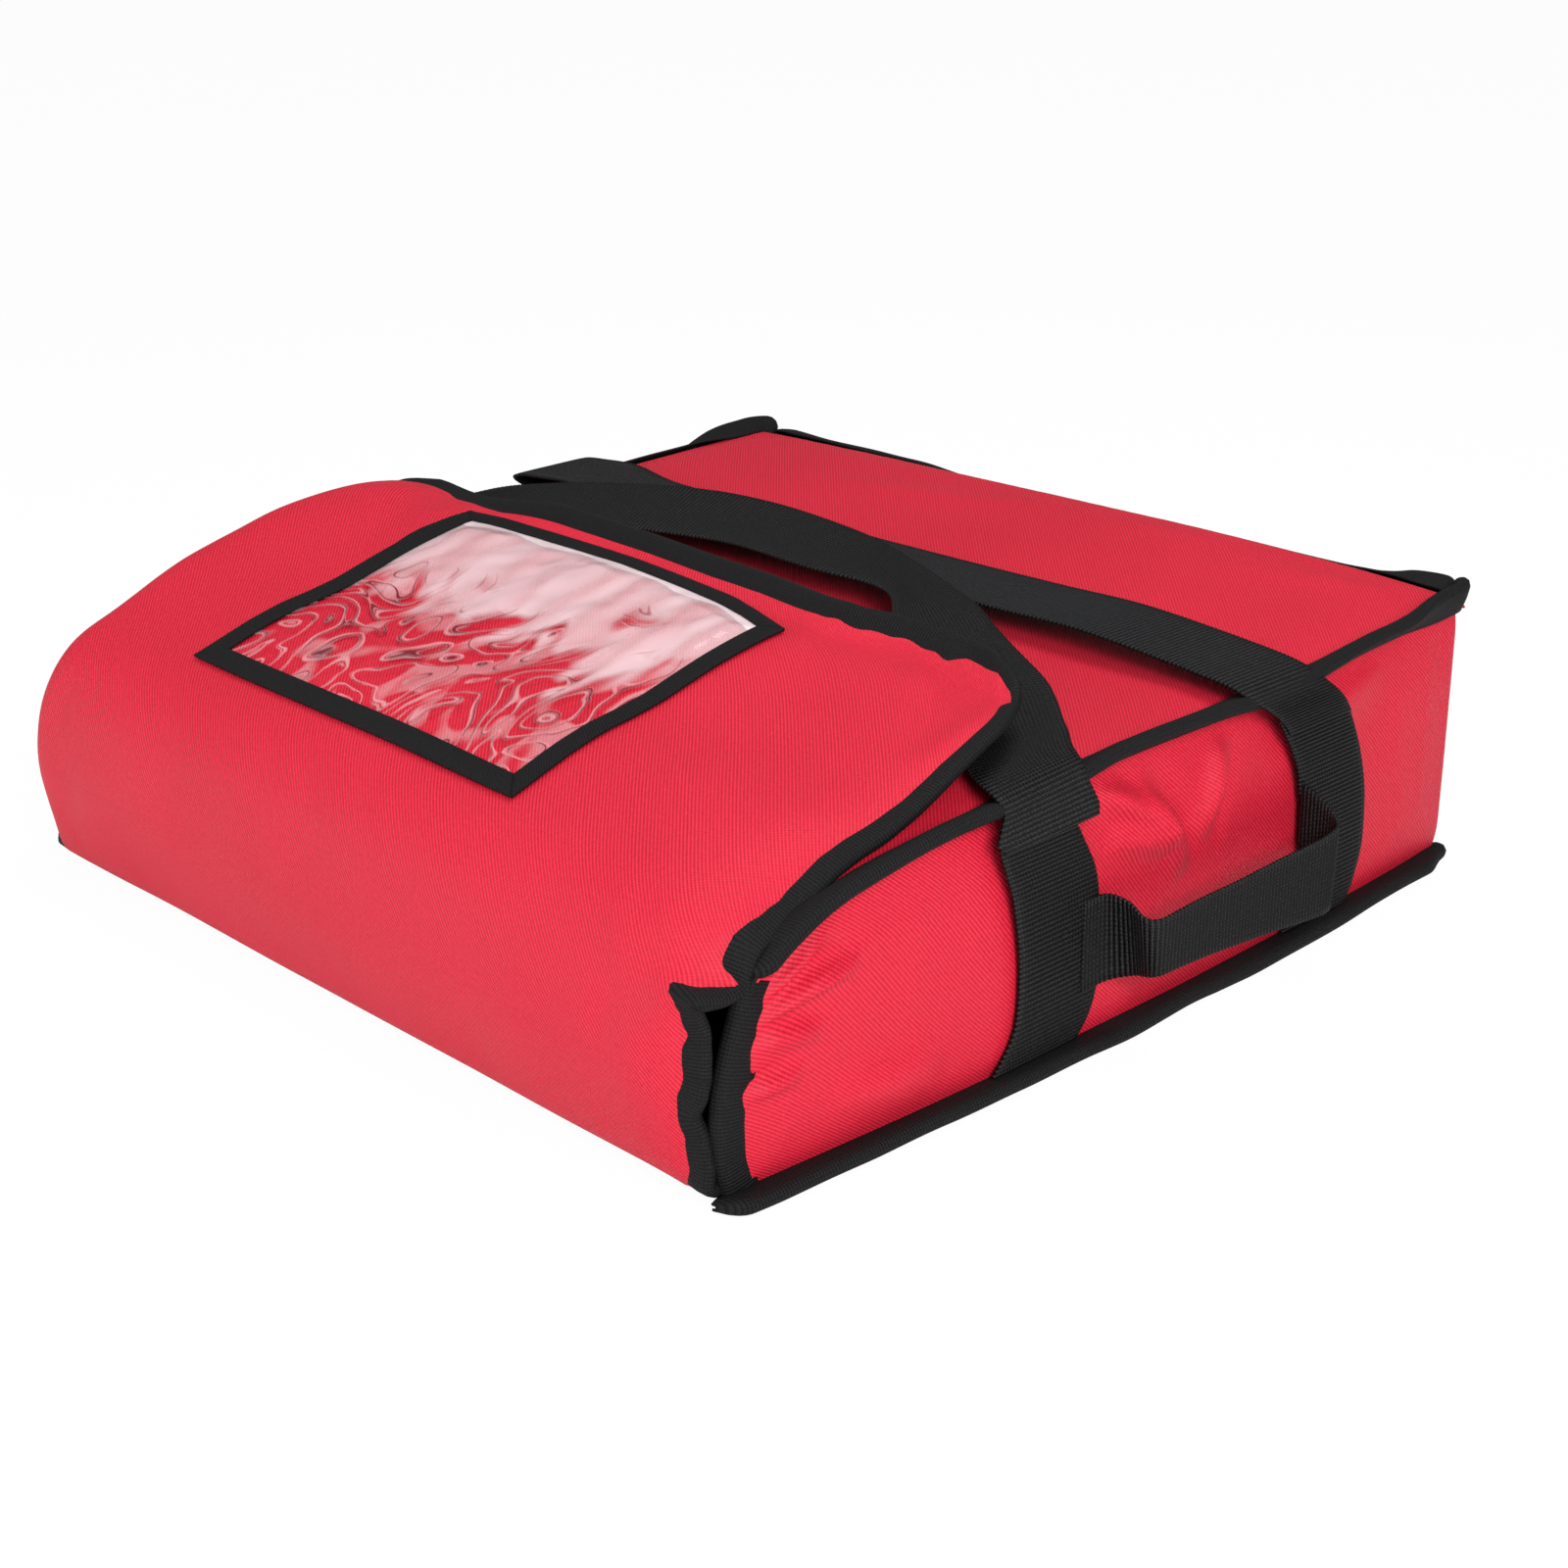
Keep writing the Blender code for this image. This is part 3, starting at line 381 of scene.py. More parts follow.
def grid_mesh(name, columns, rows, place, size=(1.0, 1.0), origin=(0.0, 0.0), close=False):
    """A grid of columns by rows laid where place(u, v) says, with its UV map in metres.

    Its outermost rows can be drawn close to the border, so that it keeps its shading there.
    """
    shape = bmesh.new()
    bmesh.ops.create_grid(shape, x_segments=columns, y_segments=rows, size=1.0)
    mesh = bpy.data.meshes.new(name)
    shape.to_mesh(mesh)
    shape.free()
    flat = np.empty(len(mesh.vertices) * 3)
    mesh.vertices.foreach_get("co", flat)
    flat = flat.reshape(-1, 3)
    u = (flat[:, 0] + 1) / 2
    v = (flat[:, 1] + 1) / 2
    if close:
        for values, count in ((u, columns), (v, rows)):
            values[np.abs(values - 1 / count) < 1e-5] = 0.12 / count
            values[np.abs(values - 1 + 1 / count) < 1e-5] = 1 - 0.12 / count
    mesh.vertices.foreach_set("co", np.asarray(place(u, v), float).ravel())
    corner = np.empty(len(mesh.loops), int)
    mesh.loops.foreach_get("vertex_index", corner)
    layer = mesh.uv_layers.new(name="UVMap")
    layer.data.foreach_set("uv", np.stack([origin[0] + u[corner] * size[0],
                                           origin[1] + v[corner] * size[1]], 1).ravel())
    mesh.update()
    return mesh


def piece(name, mesh, material, body, nodes, thickness, offset=1.0):
    """An object for a mesh of a body, standing for its CAD nodes, with its wall thickness and finish."""
    made = bpy.data.objects.new(name, mesh)
    scene.collection.objects.link(made)
    mesh.materials.append(material)
    wall = made.modifiers.new("wall", "SOLIDIFY")
    wall.thickness = thickness
    wall.offset = offset
    mesh.shade_smooth()
    made["body"] = body
    if nodes:
        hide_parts(*nodes)
    return made


def settle(name, points, grow, push, cap, held):
    """Cloth held where held is 1 swells and puckers; returns the points where it comes to rest.

    It moves by no more than cap.
    """
    nu, nv = points.shape[:2]
    mesh = grid_mesh(name, nu - 1, nv - 1,
                     lambda u, v: points[tuple(np.rint(share * (count - 1)).astype(int)
                                               for share, count in ((u, nu), (v, nv)))])
    sheet = bpy.data.objects.new(name, mesh)
    scene.collection.objects.link(sheet)
    start = np.empty(len(mesh.vertices) * 3)
    mesh.vertices.foreach_get("co", start)
    index = {}
    for k, co in enumerate(start.reshape(-1, 3)):
        index[tuple(co.round(7))] = k
    order = np.array([[index[tuple(points[i, j].astype(np.float32).astype(float).round(7))]
                       for j in range(nv)] for i in range(nu)])
    pins = sheet.vertex_groups.new(name="held")
    for i in range(nu):
        for j in range(nv):
            if held[i, j] > 0:
                pins.add([int(order[i, j])], float(held[i, j]), "REPLACE")
    cloth = sheet.modifiers.new("cloth", "CLOTH")
    s = cloth.settings
    s.quality = 6
    s.mass = 0.25
    s.tension_stiffness = 20
    s.compression_stiffness = 12
    s.shear_stiffness = 6
    s.bending_stiffness = 1.2
    s.air_damping = 2.5
    s.vertex_group_mass = "held"
    s.pin_stiffness = 5.0
    s.shrink_min = -grow
    s.use_pressure = True
    s.uniform_pressure_force = push
    s.effector_weights.gravity = 0.0
    cloth.collision_settings.use_collision = False
    cloth.point_cache.frame_start = 1
    cloth.point_cache.frame_end = 20
    for step in range(1, 21):
        scene.frame_set(step)
    settled = sheet.evaluated_get(bpy.context.evaluated_depsgraph_get()).to_mesh()
    after = np.empty(len(mesh.vertices) * 3)
    settled.vertices.foreach_get("co", after)
    move = after.reshape(-1, 3)[order] - points
    scene.frame_set(1)
    bpy.data.objects.remove(sheet)
    far = np.linalg.norm(move, axis=-1, keepdims=True)
    move = move * np.minimum(1.0, cap / np.maximum(far, 1e-9))
    i, j = grid(np.arange(nu), np.arange(nv))
    fixed = np.argwhere(held > 0.99)
    cells = np.hypot(i[..., None] - fixed[:, 0], j[..., None] - fixed[:, 1]).min(-1)
    return points + move * np.clip(cells * CELL / SETTLE_REACH, 0, 1)[..., None] ** 2


def border(nu, nv):
    """Weights that hold a sheet along its borders."""
    held = np.ones((nu, nv))
    held[1:-1, 1:-1] = 0
    return held


def stations(low, high, step=CELL):
    return np.linspace(low, high, max(3, round(abs(high - low) / step)) + 1)


def pinch(sheet, u, v):
    """How far a padded panel's faces sink towards each other near its sewn edges."""
    sides = {"w": u * sheet.width, "e": (1 - u) * sheet.width,
             "s": v * sheet.length, "n": (1 - v) * sheet.length}
    near = [np.exp(-(away / PINCH_REACH) ** 2) for side, away in sides.items() if side not in sheet.flush]
    return sheet.pinch * np.maximum.reduce(near)


def padded_panel(name, sheet, body, cad, sewn, v_span=(0.0, 1.0), step=0.0026):
    """Outer cloth, foam and lining of one panel over its sheet, each standing for its CAD node.

    At the sides named in sewn (w, e, s, n) the panel meets another one, and its lining stops there.
    """
    size = (sheet.width, (v_span[1] - v_span[0]) * sheet.length)
    columns = max(8, round(sheet.width / step))
    rows = max(8, round((v_span[1] - v_span[0]) * sheet.length / step))
    layers = (
        ("cloth", cad + "_shell", RED_CLOTH, "red_oxford", 0.0, OXFORD, 0.0, 1),
        ("padding", cad + "_foam", FOAM_SHEET, "grey_foam", 0.0036, FOAM - 0.0040, FOAM_INSET, 4),
        ("foil", cad + "_lining", FOIL_CLOTH, "foil_lining", PADDING - FOIL, FOIL, 0.001, 2),
    )
    made = []
    for layer, node, finish, slot, depth, thick, inset, coarser in layers:
        def place(u, v):
            # a side from which another length of the same sheet goes on isn't cut short
            ends = [side for side, share in zip("wesn", (0.0, 1.0, *v_span)) if share in (0.0, 1.0)]
            short = {side: PADDING if layer == "foil" and side in sewn else inset for side in ends}
            u_low = short["w"] / sheet.width
            u_high = 1 - short["e"] / sheet.width
            v_low = v_span[0] + short.get("s", 0) / sheet.length
            v_high = v_span[1] - short.get("n", 0) / sheet.length
            u = u_low + (u_high - u_low) * u
            v = v_low + (v_high - v_low) * v
            pull = pinch(sheet, u, v) * (1 if depth < FOAM / 2 else -1)
            return sheet.at(u, v, -depth - pull)
        origin = (0.0, v_span[0] * sheet.length)
        mesh = grid_mesh(f"{name}_{layer}", columns // coarser, rows // coarser, place, size, origin, True)
        made.append(piece(f"{name}_{layer}", mesh, finish, body, [node], thick, -1.0))
    return made


# Shape of the box
# The seams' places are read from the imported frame, so the cloth meets the straps.

top_low, top_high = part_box("top_shell")
HALF = top_high.x
MOUTH_Y = top_low.y
BACK_Y = top_high.y
FLAP_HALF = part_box("flap_top_shell")[1].x
bottom_low, bottom_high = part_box("bottom_shell")
SIDE_BOW = bottom_high.x - HALF
FRONT_Y = bottom_low.y
FOLD_RADIUS = bottom_high.z
SIDE_BULGE = 0.004
SEAM_GAP = 0.0013
MOUTH_SAG = 0.006        # the soft mouth corners sink under the flap
MOUTH_SAG_RUN = 0.036
CORNER_ROUND = 0.011     # the upright back corners are turned seams, softly round


def corners(node):
    """The corner points of a CAD solid."""
    return np.array([v.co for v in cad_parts[node].data.vertices])


def ridge(points, along, height):
    """Highest point at each station along one axis, in order."""
    best = {}
    for p in points:
        key = round(float(p[along]), 4)
        if key not in best or p[height] > best[key][height]:
            best[key] = p
    return np.array([best[key] for key in sorted(best)])


top_corners = corners("top_shell")
seam = ridge(top_corners[top_corners[:, 0] > HALF - 1e-4], 1, 2)
spine = ridge(top_corners[np.abs(top_corners[:, 0]) < 1e-4], 1, 2)


def smooth(low, high, values):
    share = np.clip((values - low) / (high - low), 0, 1)
    return share * share * (3 - 2 * share)


def seam_height(y):
    sag = MOUTH_SAG * smooth(MOUTH_Y + MOUTH_SAG_RUN, MOUTH_Y, y)
    return np.interp(y, seam[:, 1], seam[:, 2]) - sag


# towards the back the filled bag stands a little taller, most at its right corner
REAR_LIFT = np.array(((0.100, 0.0), (0.130, 0.0017), (0.169, 0.0045), (0.202, 0.0062), (0.227, 0.0085),
                      (0.260, 0.0105)))
REAR_ROUND = 0.012       # the top rolls over into the back with this radius


def rear_lift(x, y):
    return np.interp(y, *REAR_LIFT.T) * (0.3 + 0.7 * smooth(-0.25, 0.20, x))


def crown(x, y):
    rise = np.interp(y, spine[:, 1], spine[:, 2]) - np.interp(y, seam[:, 1], seam[:, 2])
    return np.where((y >= MOUTH_Y) & (y <= BACK_Y), rise, 0.0) * (1 - (x / HALF) ** 2)


def bow(y):
    return np.clip(1 - (y / BACK_Y) ** 2, 0, None)


def rounding(over):
    """How far a wall has turned in where it lies over into a round corner."""
    over = np.clip(over, 0, CORNER_ROUND * 0.71)
    return CORNER_ROUND - np.sqrt(CORNER_ROUND ** 2 - over ** 2)


CORNER_END = CORNER_ROUND * (1 - math.sqrt(0.5))


def wall_top(side, y):
    """Height of the top seam of the right (1) or left (-1) side wall."""
    return seam_height(y) + rear_lift(side * HALF, y)


def wall_x(y, z):
    share = np.clip(z / seam_height(y), 0, 1)
    turned = rounding(y - (BACK_Y - CORNER_ROUND))
    return HALF - turned + bow(y) * (SIDE_BOW * (1 - share) + SIDE_BULGE * np.sin(math.pi * share))


# Bottom panel
# A flat padded panel. At the front it turns up in a soft fold and runs on as the flap.

def bottom_place(u, v):
    y = BACK_Y + (FRONT_Y + FOLD_RADIUS - BACK_Y) * v
    x = (2 * u - 1) * (HALF + SIDE_BOW * bow(y))
    return np.stack([x, y, np.zeros_like(x)], -1)


u, v = grid(stations(0, 1, 0.02), stations(0, 1, 0.02))
bottom_sheet = Sheet(bottom_place(u, v))
bottom_parts = padded_panel("bottom", bottom_sheet, "bag", "bottom", "wes", step=0.006)


# Top panel
# It bulges upwards a little between the seams.

u, v = grid(stations(-HALF, HALF), stations(MOUTH_Y, BACK_Y))
rolled = np.clip((v - (BACK_Y - REAR_ROUND)) / REAR_ROUND, 0, 1)
puff = 0.0035 * smooth(0.10, 0.22, v) * (1 - (u / HALF) ** 4) - 0.0055 * (1 - np.sqrt(1 - rolled ** 2))
top_points = np.stack([u, v, seam_height(v) + crown(u, v) + rear_lift(u, v) + puff], -1)
top_points = settle("top", top_points, 0.012, 1.2, 0.0012, border(*u.shape))
TOP_FOLDS = (((0.300, 0.190), (0.400, 0.230), 0.0120, 0.0014),
             ((0.120, 0.420), (0.260, 0.455), 0.0140, 0.0012),
             ((0.380, 0.440), (0.480, 0.470), 0.0120, 0.0008))
top_sheet = Sheet(top_points, TOP_FOLDS, 0.0012)
top_parts = padded_panel("top", top_sheet, "bag", "top", "wen")


# Side walls
# Their feet bow outwards, and the cloth puckers between the straps that are sewn on it.

# front edge of a side wall: height, and how far it reaches in front of the mouth
WALL_FRONT = ((0.000, 0.011), (0.020, 0.016), (0.035, 0.0165), (0.050, 0.015), (0.065, 0.011),
              (0.080, 0.005), (0.095, 0.000))


def wall_front(z):
    heights, reaches = np.array(WALL_FRONT).T
    return MOUTH_Y - np.interp(z, heights, reaches)


# creases of a side wall, from its mouth edge and its foot: beside the mouth, then between the straps
WALL_FOLDS = (
    ((0.004, 0.107), (0.046, 0.118), 0.0040, 0.0060), ((0.004, 0.098), (0.058, 0.091), 0.0045, 0.0075),
    ((0.004, 0.088), (0.044, 0.066), 0.0040, 0.0055), ((0.002, 0.061), (0.036, 0.052), 0.0040, 0.0055),
    ((0.200, 0.122), (0.256, 0.080), 0.0065, 0.0090), ((0.230, 0.118), (0.268, 0.062), 0.0065, 0.0075),
    ((0.212, 0.093), (0.250, 0.078), 0.0055, 0.0055), ((0.296, 0.119), (0.276, 0.074), 0.0065, 0.0065),
    ((0.050, 0.032), (0.115, 0.022), 0.0110, 0.0040), ((0.340, 0.098), (0.430, 0.112), 0.0120, 0.0040))

WALL_TALL = 0.129        # nominal height of the walls, for the spacing of their cloth
WALL_STATIONS = stations(0, WALL_TALL) / WALL_TALL
wall_parts = []
wall_sheets = {}
for side_name, side in (("right", 1), ("left", -1)):
    u, v = grid(stations(0, BACK_Y - MOUTH_Y) / (BACK_Y - MOUTH_Y), WALL_STATIONS)
    y = MOUTH_Y + (BACK_Y - MOUTH_Y) * u
    z = SEAM_GAP + v * (wall_top(side, y) - 2 * SEAM_GAP)
    y = wall_front(z) * (1 - u) + (BACK_Y - CORNER_END) * u
    wall_points = np.stack([side * wall_x(y, z), y, z], -1)
    held = np.maximum(border(*u.shape), (np.abs(y + 0.070) < 0.045) | (np.abs(y - 0.128) < 0.045))
    wall_points = settle(f"{side_name}_wall", wall_points[:: side], 0.012, 1.2, 0.0015, held[:: side])
    folds = WALL_FOLDS
    if side < 0:
        length = BACK_Y - MOUTH_Y
        folds = [((length - a[0], a[1]), (length - b[0], b[1]), *form) for a, b, *form in WALL_FOLDS]
    wall_sheets[side_name] = Sheet(wall_points, folds, 0.0010, side * 3.0, flush="e" if side > 0 else "w")
    sewn = "nse" if side > 0 else "nsw"
    wall_parts += padded_panel(f"{side_name}_wall", wall_sheets[side_name], "bag", side_name, sewn)


# Back wall
# Plain, and puffed out between its seams.

u, v = grid(stations(HALF - CORNER_END, CORNER_END - HALF), WALL_STATIONS)
back_top = seam_height(BACK_Y) + rear_lift(u, BACK_Y) - 0.0045
back_y = BACK_Y - rounding(np.abs(u) - (HALF - CORNER_ROUND))
back_y += 0.004 * (1 - (u / HALF) ** 2) * np.sin(math.pi * v)
back_points = np.stack([u, back_y, SEAM_GAP + v * (back_top - SEAM_GAP)], -1)
back_points = settle("back", back_points, 0.012, 1.2, 0.0030, border(*u.shape))
back_sheet = Sheet(back_points, flush="we")
back_parts = padded_panel("back", back_sheet, "bag", "back", "wens")


# Flap
# One long padded panel that goes on from the bottom, up over the mouth and back over
# the top. It is cut here into a lower and an upper length, one for each fold.

FLAP_CORNER = 0.045
CUT_RUN = 0.067          # the two lengths meet this far up the front face
FLAP_STEP = 0.0045


def flap_profile(steps=260, passes=10):
    """Even runs along the flap's outer face at its middle, from the floor to its rear edge, and
    its (y, z) there."""
    shape = bmesh.new()
    for node in ("flap_front_shell", "flap_top_shell"):
        shape.from_mesh(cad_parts[node].data)
    faces = BVHTree.FromBMesh(shape)
    shape.free()
    curve = [(FRONT_Y + FOLD_RADIUS * (1 - math.sin(a)), FOLD_RADIUS * (1 - math.cos(a)))
             for a in np.linspace(0, 1.3, 9)]
    hub = Vector((0.0, FRONT_Y + 0.108, 0.060))
    for degree in range(-22, 142):
        away = Vector((0, -math.cos(math.radians(degree)), math.sin(math.radians(degree))))
        spot = faces.ray_cast(hub + away * 0.3, -away, 0.3)[0]
        if spot is not None:
            curve.append((spot.y, spot.z - (float(crown(0.0, spot.y)) if degree > 40 else 0.0)))
    curve = np.array(curve)
    run = np.concatenate([[0], np.cumsum(np.linalg.norm(np.diff(curve, axis=0), axis=1))])
    even_run = np.linspace(0, run[-1], steps)
    curve = np.stack([np.interp(even_run, run, curve[:, k]) for k in (0, 1)], 1)
    for _ in range(passes):
        curve[1:-1] = (curve[:-2] + 2 * curve[1:-1] + curve[2:]) / 4
    return even_run, curve


fine_run, fine_curve = flap_profile()
FLAP_RUN = fine_run[-1]
fine_run = np.append(fine_run, FLAP_RUN + 0.02)
fine_curve = np.vstack([fine_curve, fine_curve[-1] + unit(fine_curve[-1] - fine_curve[-6]) * 0.02])


# The flap's side edges hang as in the photo. On the right the cloth is pulled in over the
# mouth's corner, folds out again below it and runs down in waves. On the left it rolls
# under. Each row is a run from the floor up, and how far the edge lies back, down and
# inwards there from the even profile.
FLAP_EDGE_RIGHT = np.array((
    (0.000, 0.000, 0.000, 0.000), (0.014, -0.002, 0.000, 0.000), (0.028, 0.002, 0.000, -0.001),
    (0.040, 0.005, 0.000, 0.001), (0.049, 0.005, 0.000, 0.004), (0.058, 0.007, 0.000, 0.000),
    (0.067, 0.010, 0.000, -0.001), (0.077, 0.010, 0.000, -0.001), (0.086, 0.009, 0.000, 0.000),
    (0.094, 0.004, -0.001, 0.002), (0.100, -0.001, -0.002, 0.003), (0.104, 0.000, -0.002, 0.000),
    (0.109, 0.008, 0.003, -0.002), (0.116, 0.016, 0.011, -0.004), (0.126, 0.0135, 0.012, -0.004),
    (0.140, 0.008, 0.012, -0.003), (0.154, 0.006, 0.0125, -0.002), (0.167, 0.004, 0.012, -0.001),
    (0.181, 0.002, 0.009, 0.000), (0.195, 0.000, 0.006, 0.000), (0.223, 0.000, 0.002, 0.000),
    (0.265, 0.000, -0.003, 0.004), (0.293, 0.000, -0.005, 0.008), (0.321, 0.000, -0.006, 0.011),
    (0.354, 0.000, -0.006, 0.012)))
FLAP_EDGE_LEFT = np.array((
    (0.000, 0.000, 0.000, 0.003), (0.014, 0.000, 0.000, 0.003), (0.028, 0.008, 0.000, 0.001),
    (0.042, 0.020, 0.000, -0.003), (0.056, 0.028, 0.000, -0.006), (0.070, 0.030, 0.000, -0.007),
    (0.084, 0.026, 0.001, -0.005), (0.098, 0.018, 0.004, -0.001), (0.112, 0.016, 0.009, 0.001),
    (0.126, 0.017, 0.014, -0.001), (0.140, 0.014, 0.020, -0.005), (0.167, 0.009, 0.024, -0.008),
    (0.195, 0.005, 0.025, -0.009), (0.223, 0.002, 0.025, -0.009), (0.265, 0.000, 0.024, -0.008),
    (0.293, 0.000, 0.022, -0.006), (0.321, 0.000, 0.020, -0.001), (0.354, 0.000, 0.018, 0.004)))
FLAP_EDGE_REACH = 0.042
ROLL_REACH = 0.021
# the rear edge isn't cut quite straight: places across it, and how far it stops short there
FLAP_SHORT = np.array((
    (-0.245, -0.003), (-0.190, -0.004), (-0.147, -0.0005), (-0.085, 0.001), (-0.020, 0.003), (0.028, 0.006),
    (0.060, 0.0065), (0.087, 0.0088), (0.107, 0.0105), (0.118, 0.0102), (0.131, 0.0072), (0.150, 0.0045),
    (0.169, 0.0035), (0.185, 0.0046), (0.203, 0.0085), (0.245, 0.014)))
FLAP_PINCH = 0.0036
REAR_TURN = 0.0090       # the bound rear edge stands up: over this run, by this rise
REAR_TURN_RISE = 0.0105


def flap_hang(x, run):
    """How much the flap hangs away from its even profile near its side edges and corners."""
    side = FLAP_HALF - np.abs(x)
    hang = np.zeros(x.shape + (3,))
    for sign, edge, reach in ((1, FLAP_EDGE_RIGHT, FLAP_EDGE_REACH), (-1, FLAP_EDGE_LEFT, ROLL_REACH)):
        back, down, inward = (np.interp(run, edge[:, 0], edge[:, k]) for k in (1, 2, 3))
        weight = np.where(x * sign > 0, np.clip(1 - side / reach, 0, 1) ** 2, 0.0)
        pull = np.where(x * sign > 0, np.clip(1 - side / FLAP_EDGE_REACH, 0, 1) ** 2, 0.0)
        hang += np.stack([-sign * inward * pull, back * weight, -down * weight], -1)
    curl = np.where(x > 0, 0.001, 0.009) * np.clip(1 - np.hypot(side, FLAP_RUN - run) / 0.085, 0, 1) ** 1.5
    # a ridge along the left side, and the corner behind it lifted by the strap below
    raised = 0.0145 * np.exp(-((x + 0.238) / 0.055) ** 2 - ((run - 0.245) / 0.068) ** 2)
    raised += 0.0075 * np.exp(-((x + 0.228) / 0.048) ** 2 - ((run - 0.330) / 0.045) ** 2)
    hang[..., 2] += raised - curl
    return hang


def flap_place(x, run):
    y = np.interp(run, fine_run, fine_curve[:, 0])
    z = np.interp(run, fine_run, fine_curve[:, 1])
    ahead = np.stack([np.interp(run + 0.002, fine_run, fine_curve[:, k])
                      - np.interp(run - 0.002, fine_run, fine_curve[:, k]) for k in (0, 1)], -1)
    normal = unit(np.stack([-ahead[..., 1], ahead[..., 0]], -1))
    rise = crown(x, y)
    return np.stack([x, y + normal[..., 0] * rise, z + normal[..., 1] * rise], -1)


def flap_half(run):
    left = np.clip(FLAP_CORNER - (FLAP_RUN - run), 0, FLAP_CORNER)
    return FLAP_HALF - FLAP_CORNER + np.sqrt(FLAP_CORNER ** 2 - left ** 2)


u, v = grid(stations(0, 1, FLAP_STEP / 0.49), stations(0, 1, FLAP_STEP / FLAP_RUN))
flap_runs = v * FLAP_RUN
flap_xs = (2 * u - 1) * flap_half(flap_runs)
turned_up = np.clip((flap_runs - (FLAP_RUN - REAR_TURN)) / REAR_TURN, 0, 1)
turned_up = REAR_TURN_RISE * turned_up * (0.25 + 0.75 * smooth(-0.18, -0.09, flap_xs))
flap_runs = flap_runs - np.interp(flap_xs, *FLAP_SHORT.T) * smooth(FLAP_RUN - 0.090, FLAP_RUN, flap_runs)
flap_points = flap_place(flap_xs, flap_runs) + flap_hang(flap_xs, flap_runs)
flap_points[..., 2] += turned_up
flap_points = settle("flap", flap_points, 0.008, 0.8, 0.0012, border(*u.shape))
FLAP_FOLDS = (
    ((0.418, 0.350), (0.456, 0.316), 0.0060, 0.0026), ((0.362, 0.350), (0.376, 0.312), 0.0050, 0.0022),
    ((0.030, 0.345), (0.078, 0.262), 0.0090, 0.0026), ((0.075, 0.350), (0.105, 0.290), 0.0080, 0.0020),
    ((0.400, 0.215), (0.458, 0.150), 0.0120, 0.0018), ((0.440, 0.140), (0.470, 0.096), 0.0060, 0.0018),
    ((0.060, 0.110), (0.150, 0.060), 0.0200, 0.0018), ((0.250, 0.130), (0.420, 0.070), 0.0240, 0.0018),
    ((0.180, 0.090), (0.300, 0.040), 0.0220, 0.0016))
flap_sheet = Sheet(flap_points, FLAP_FOLDS, 0.0012, pinch=FLAP_PINCH)
cut = CUT_RUN / FLAP_RUN
flap_low = padded_panel("flap_lower", flap_sheet, "flap_front", "flap_front", "", v_span=(0.0, cut))
flap_high = padded_panel("flap_upper", flap_sheet, "flap_top", "flap_top", "", v_span=(cut, 1.0))


# Binding tape
# Black woven tape folded over each raw edge and sewn through.

TAPE = 0.0011
TAPE_LEG = 0.0125
RIB = 0.0016


def ribbed_tape(name, rib, depth, dark, light, roughness, low=0.2):
    """Woven polypropylene or polyester tape: cross ribs, with a thread running between them; the ribs'
    crests are painted lighter and their hollows darker, a painted highlight and shade, besides random
    speckle.
    """
    made, tree, shader, uv = shade(name, roughness, Specular_IOR_Level=0.18)
    along, across = waves(tree, uv, rib, rib * 0.8)
    height = maths(tree, "MULTIPLY_ADD", maths(tree, "SINE", across), 0.35, maths(tree, "SINE", along))
    # painted highlight and shade: the ribs' crests take the light colour and their hollows the dark one, by
    # their height; the speckle adds random tone
    tone = maths(tree, "MULTIPLY_ADD", height, 0.28, speckle(tree, uv, 900.0, 3.0))
    colour_ramp(tree, shader, tone, (low, dark), (0.95, light))
    bump(tree, shader, height, 0.6, depth)
    return made


BLACK_TAPE = ribbed_tape("woven_binding_tape", RIB, 0.0003, "#020203", "#19191b", 0.75)


def fold_section(spread, leg, count=5):
    """Section of a tape folded round an edge, as distances out from the edge and above its outer face."""
    middle = -spread / 2
    radius = spread / 2
    section = [(-leg, 0.0), (-leg * 0.5, 0.0004)]
    for i in range(count + 1):
        angle = math.pi * (0.5 - i / count)
        section.append((radius * math.cos(angle) * 0.9, middle + radius * math.sin(angle)))
    section += [(-leg * 0.5, -spread - 0.0004), (-leg, -spread)]
    return np.array(section)


def folded_tape(name, edge, outward, upward, spread, leg, body, nodes, lift=0.0, step=0.0022, taper=0.0):
    """Tape folded round an edge given by its points, its outward and its upward directions.

    Its section can be drawn together over the taper's length at both ends.
    """
    if np.sum(np.cross(np.gradient(edge, axis=0), outward) * upward) < 0:
        edge, outward, upward = edge[::-1], outward[::-1], upward[::-1]
    run = np.concatenate([[0], np.cumsum(np.linalg.norm(np.diff(edge, axis=0), axis=1))])
    section = fold_section(spread + 2 * lift, leg)
    reach = np.concatenate([[0], np.cumsum(np.linalg.norm(np.diff(section, axis=0), axis=1))])

    def place(u, v):
        s = u * run[-1]
        spot, out, up = (np.stack([np.interp(s, run, values[:, k]) for k in range(3)], -1)
                         for values in (edge, outward, upward))
        a = np.interp(v * reach[-1], reach, section[:, 0])[:, None]
        b = np.interp(v * reach[-1], reach, section[:, 1])[:, None]
        if taper:
            full = np.sqrt(1 - (1 - np.clip(np.minimum(s, run[-1] - s) / taper, 0.02, 1)) ** 2)[:, None]
            a = (a + leg) * full - leg
            b = (b + spread / 2) * full - spread / 2
        return spot + unit(out) * a + unit(up) * (b + lift)

    mesh = grid_mesh(name, max(6, round(run[-1] / step)), 18, place, (run[-1], reach[-1]))
    return piece(name, mesh, BLACK_TAPE, body, nodes, TAPE)


def sheet_edge(sheet, us, vs):
    """Points along a sheet's edge at the shares given, with outward and upward directions."""
    us, vs = np.asarray(us, float), np.asarray(vs, float)
    spot = sheet.at(us, vs)
    up = unit(sheet.read(sheet.normals, us, vs))
    along = np.gradient(spot, axis=0)
    out = unit(np.cross(along, up))
    return spot, out, up


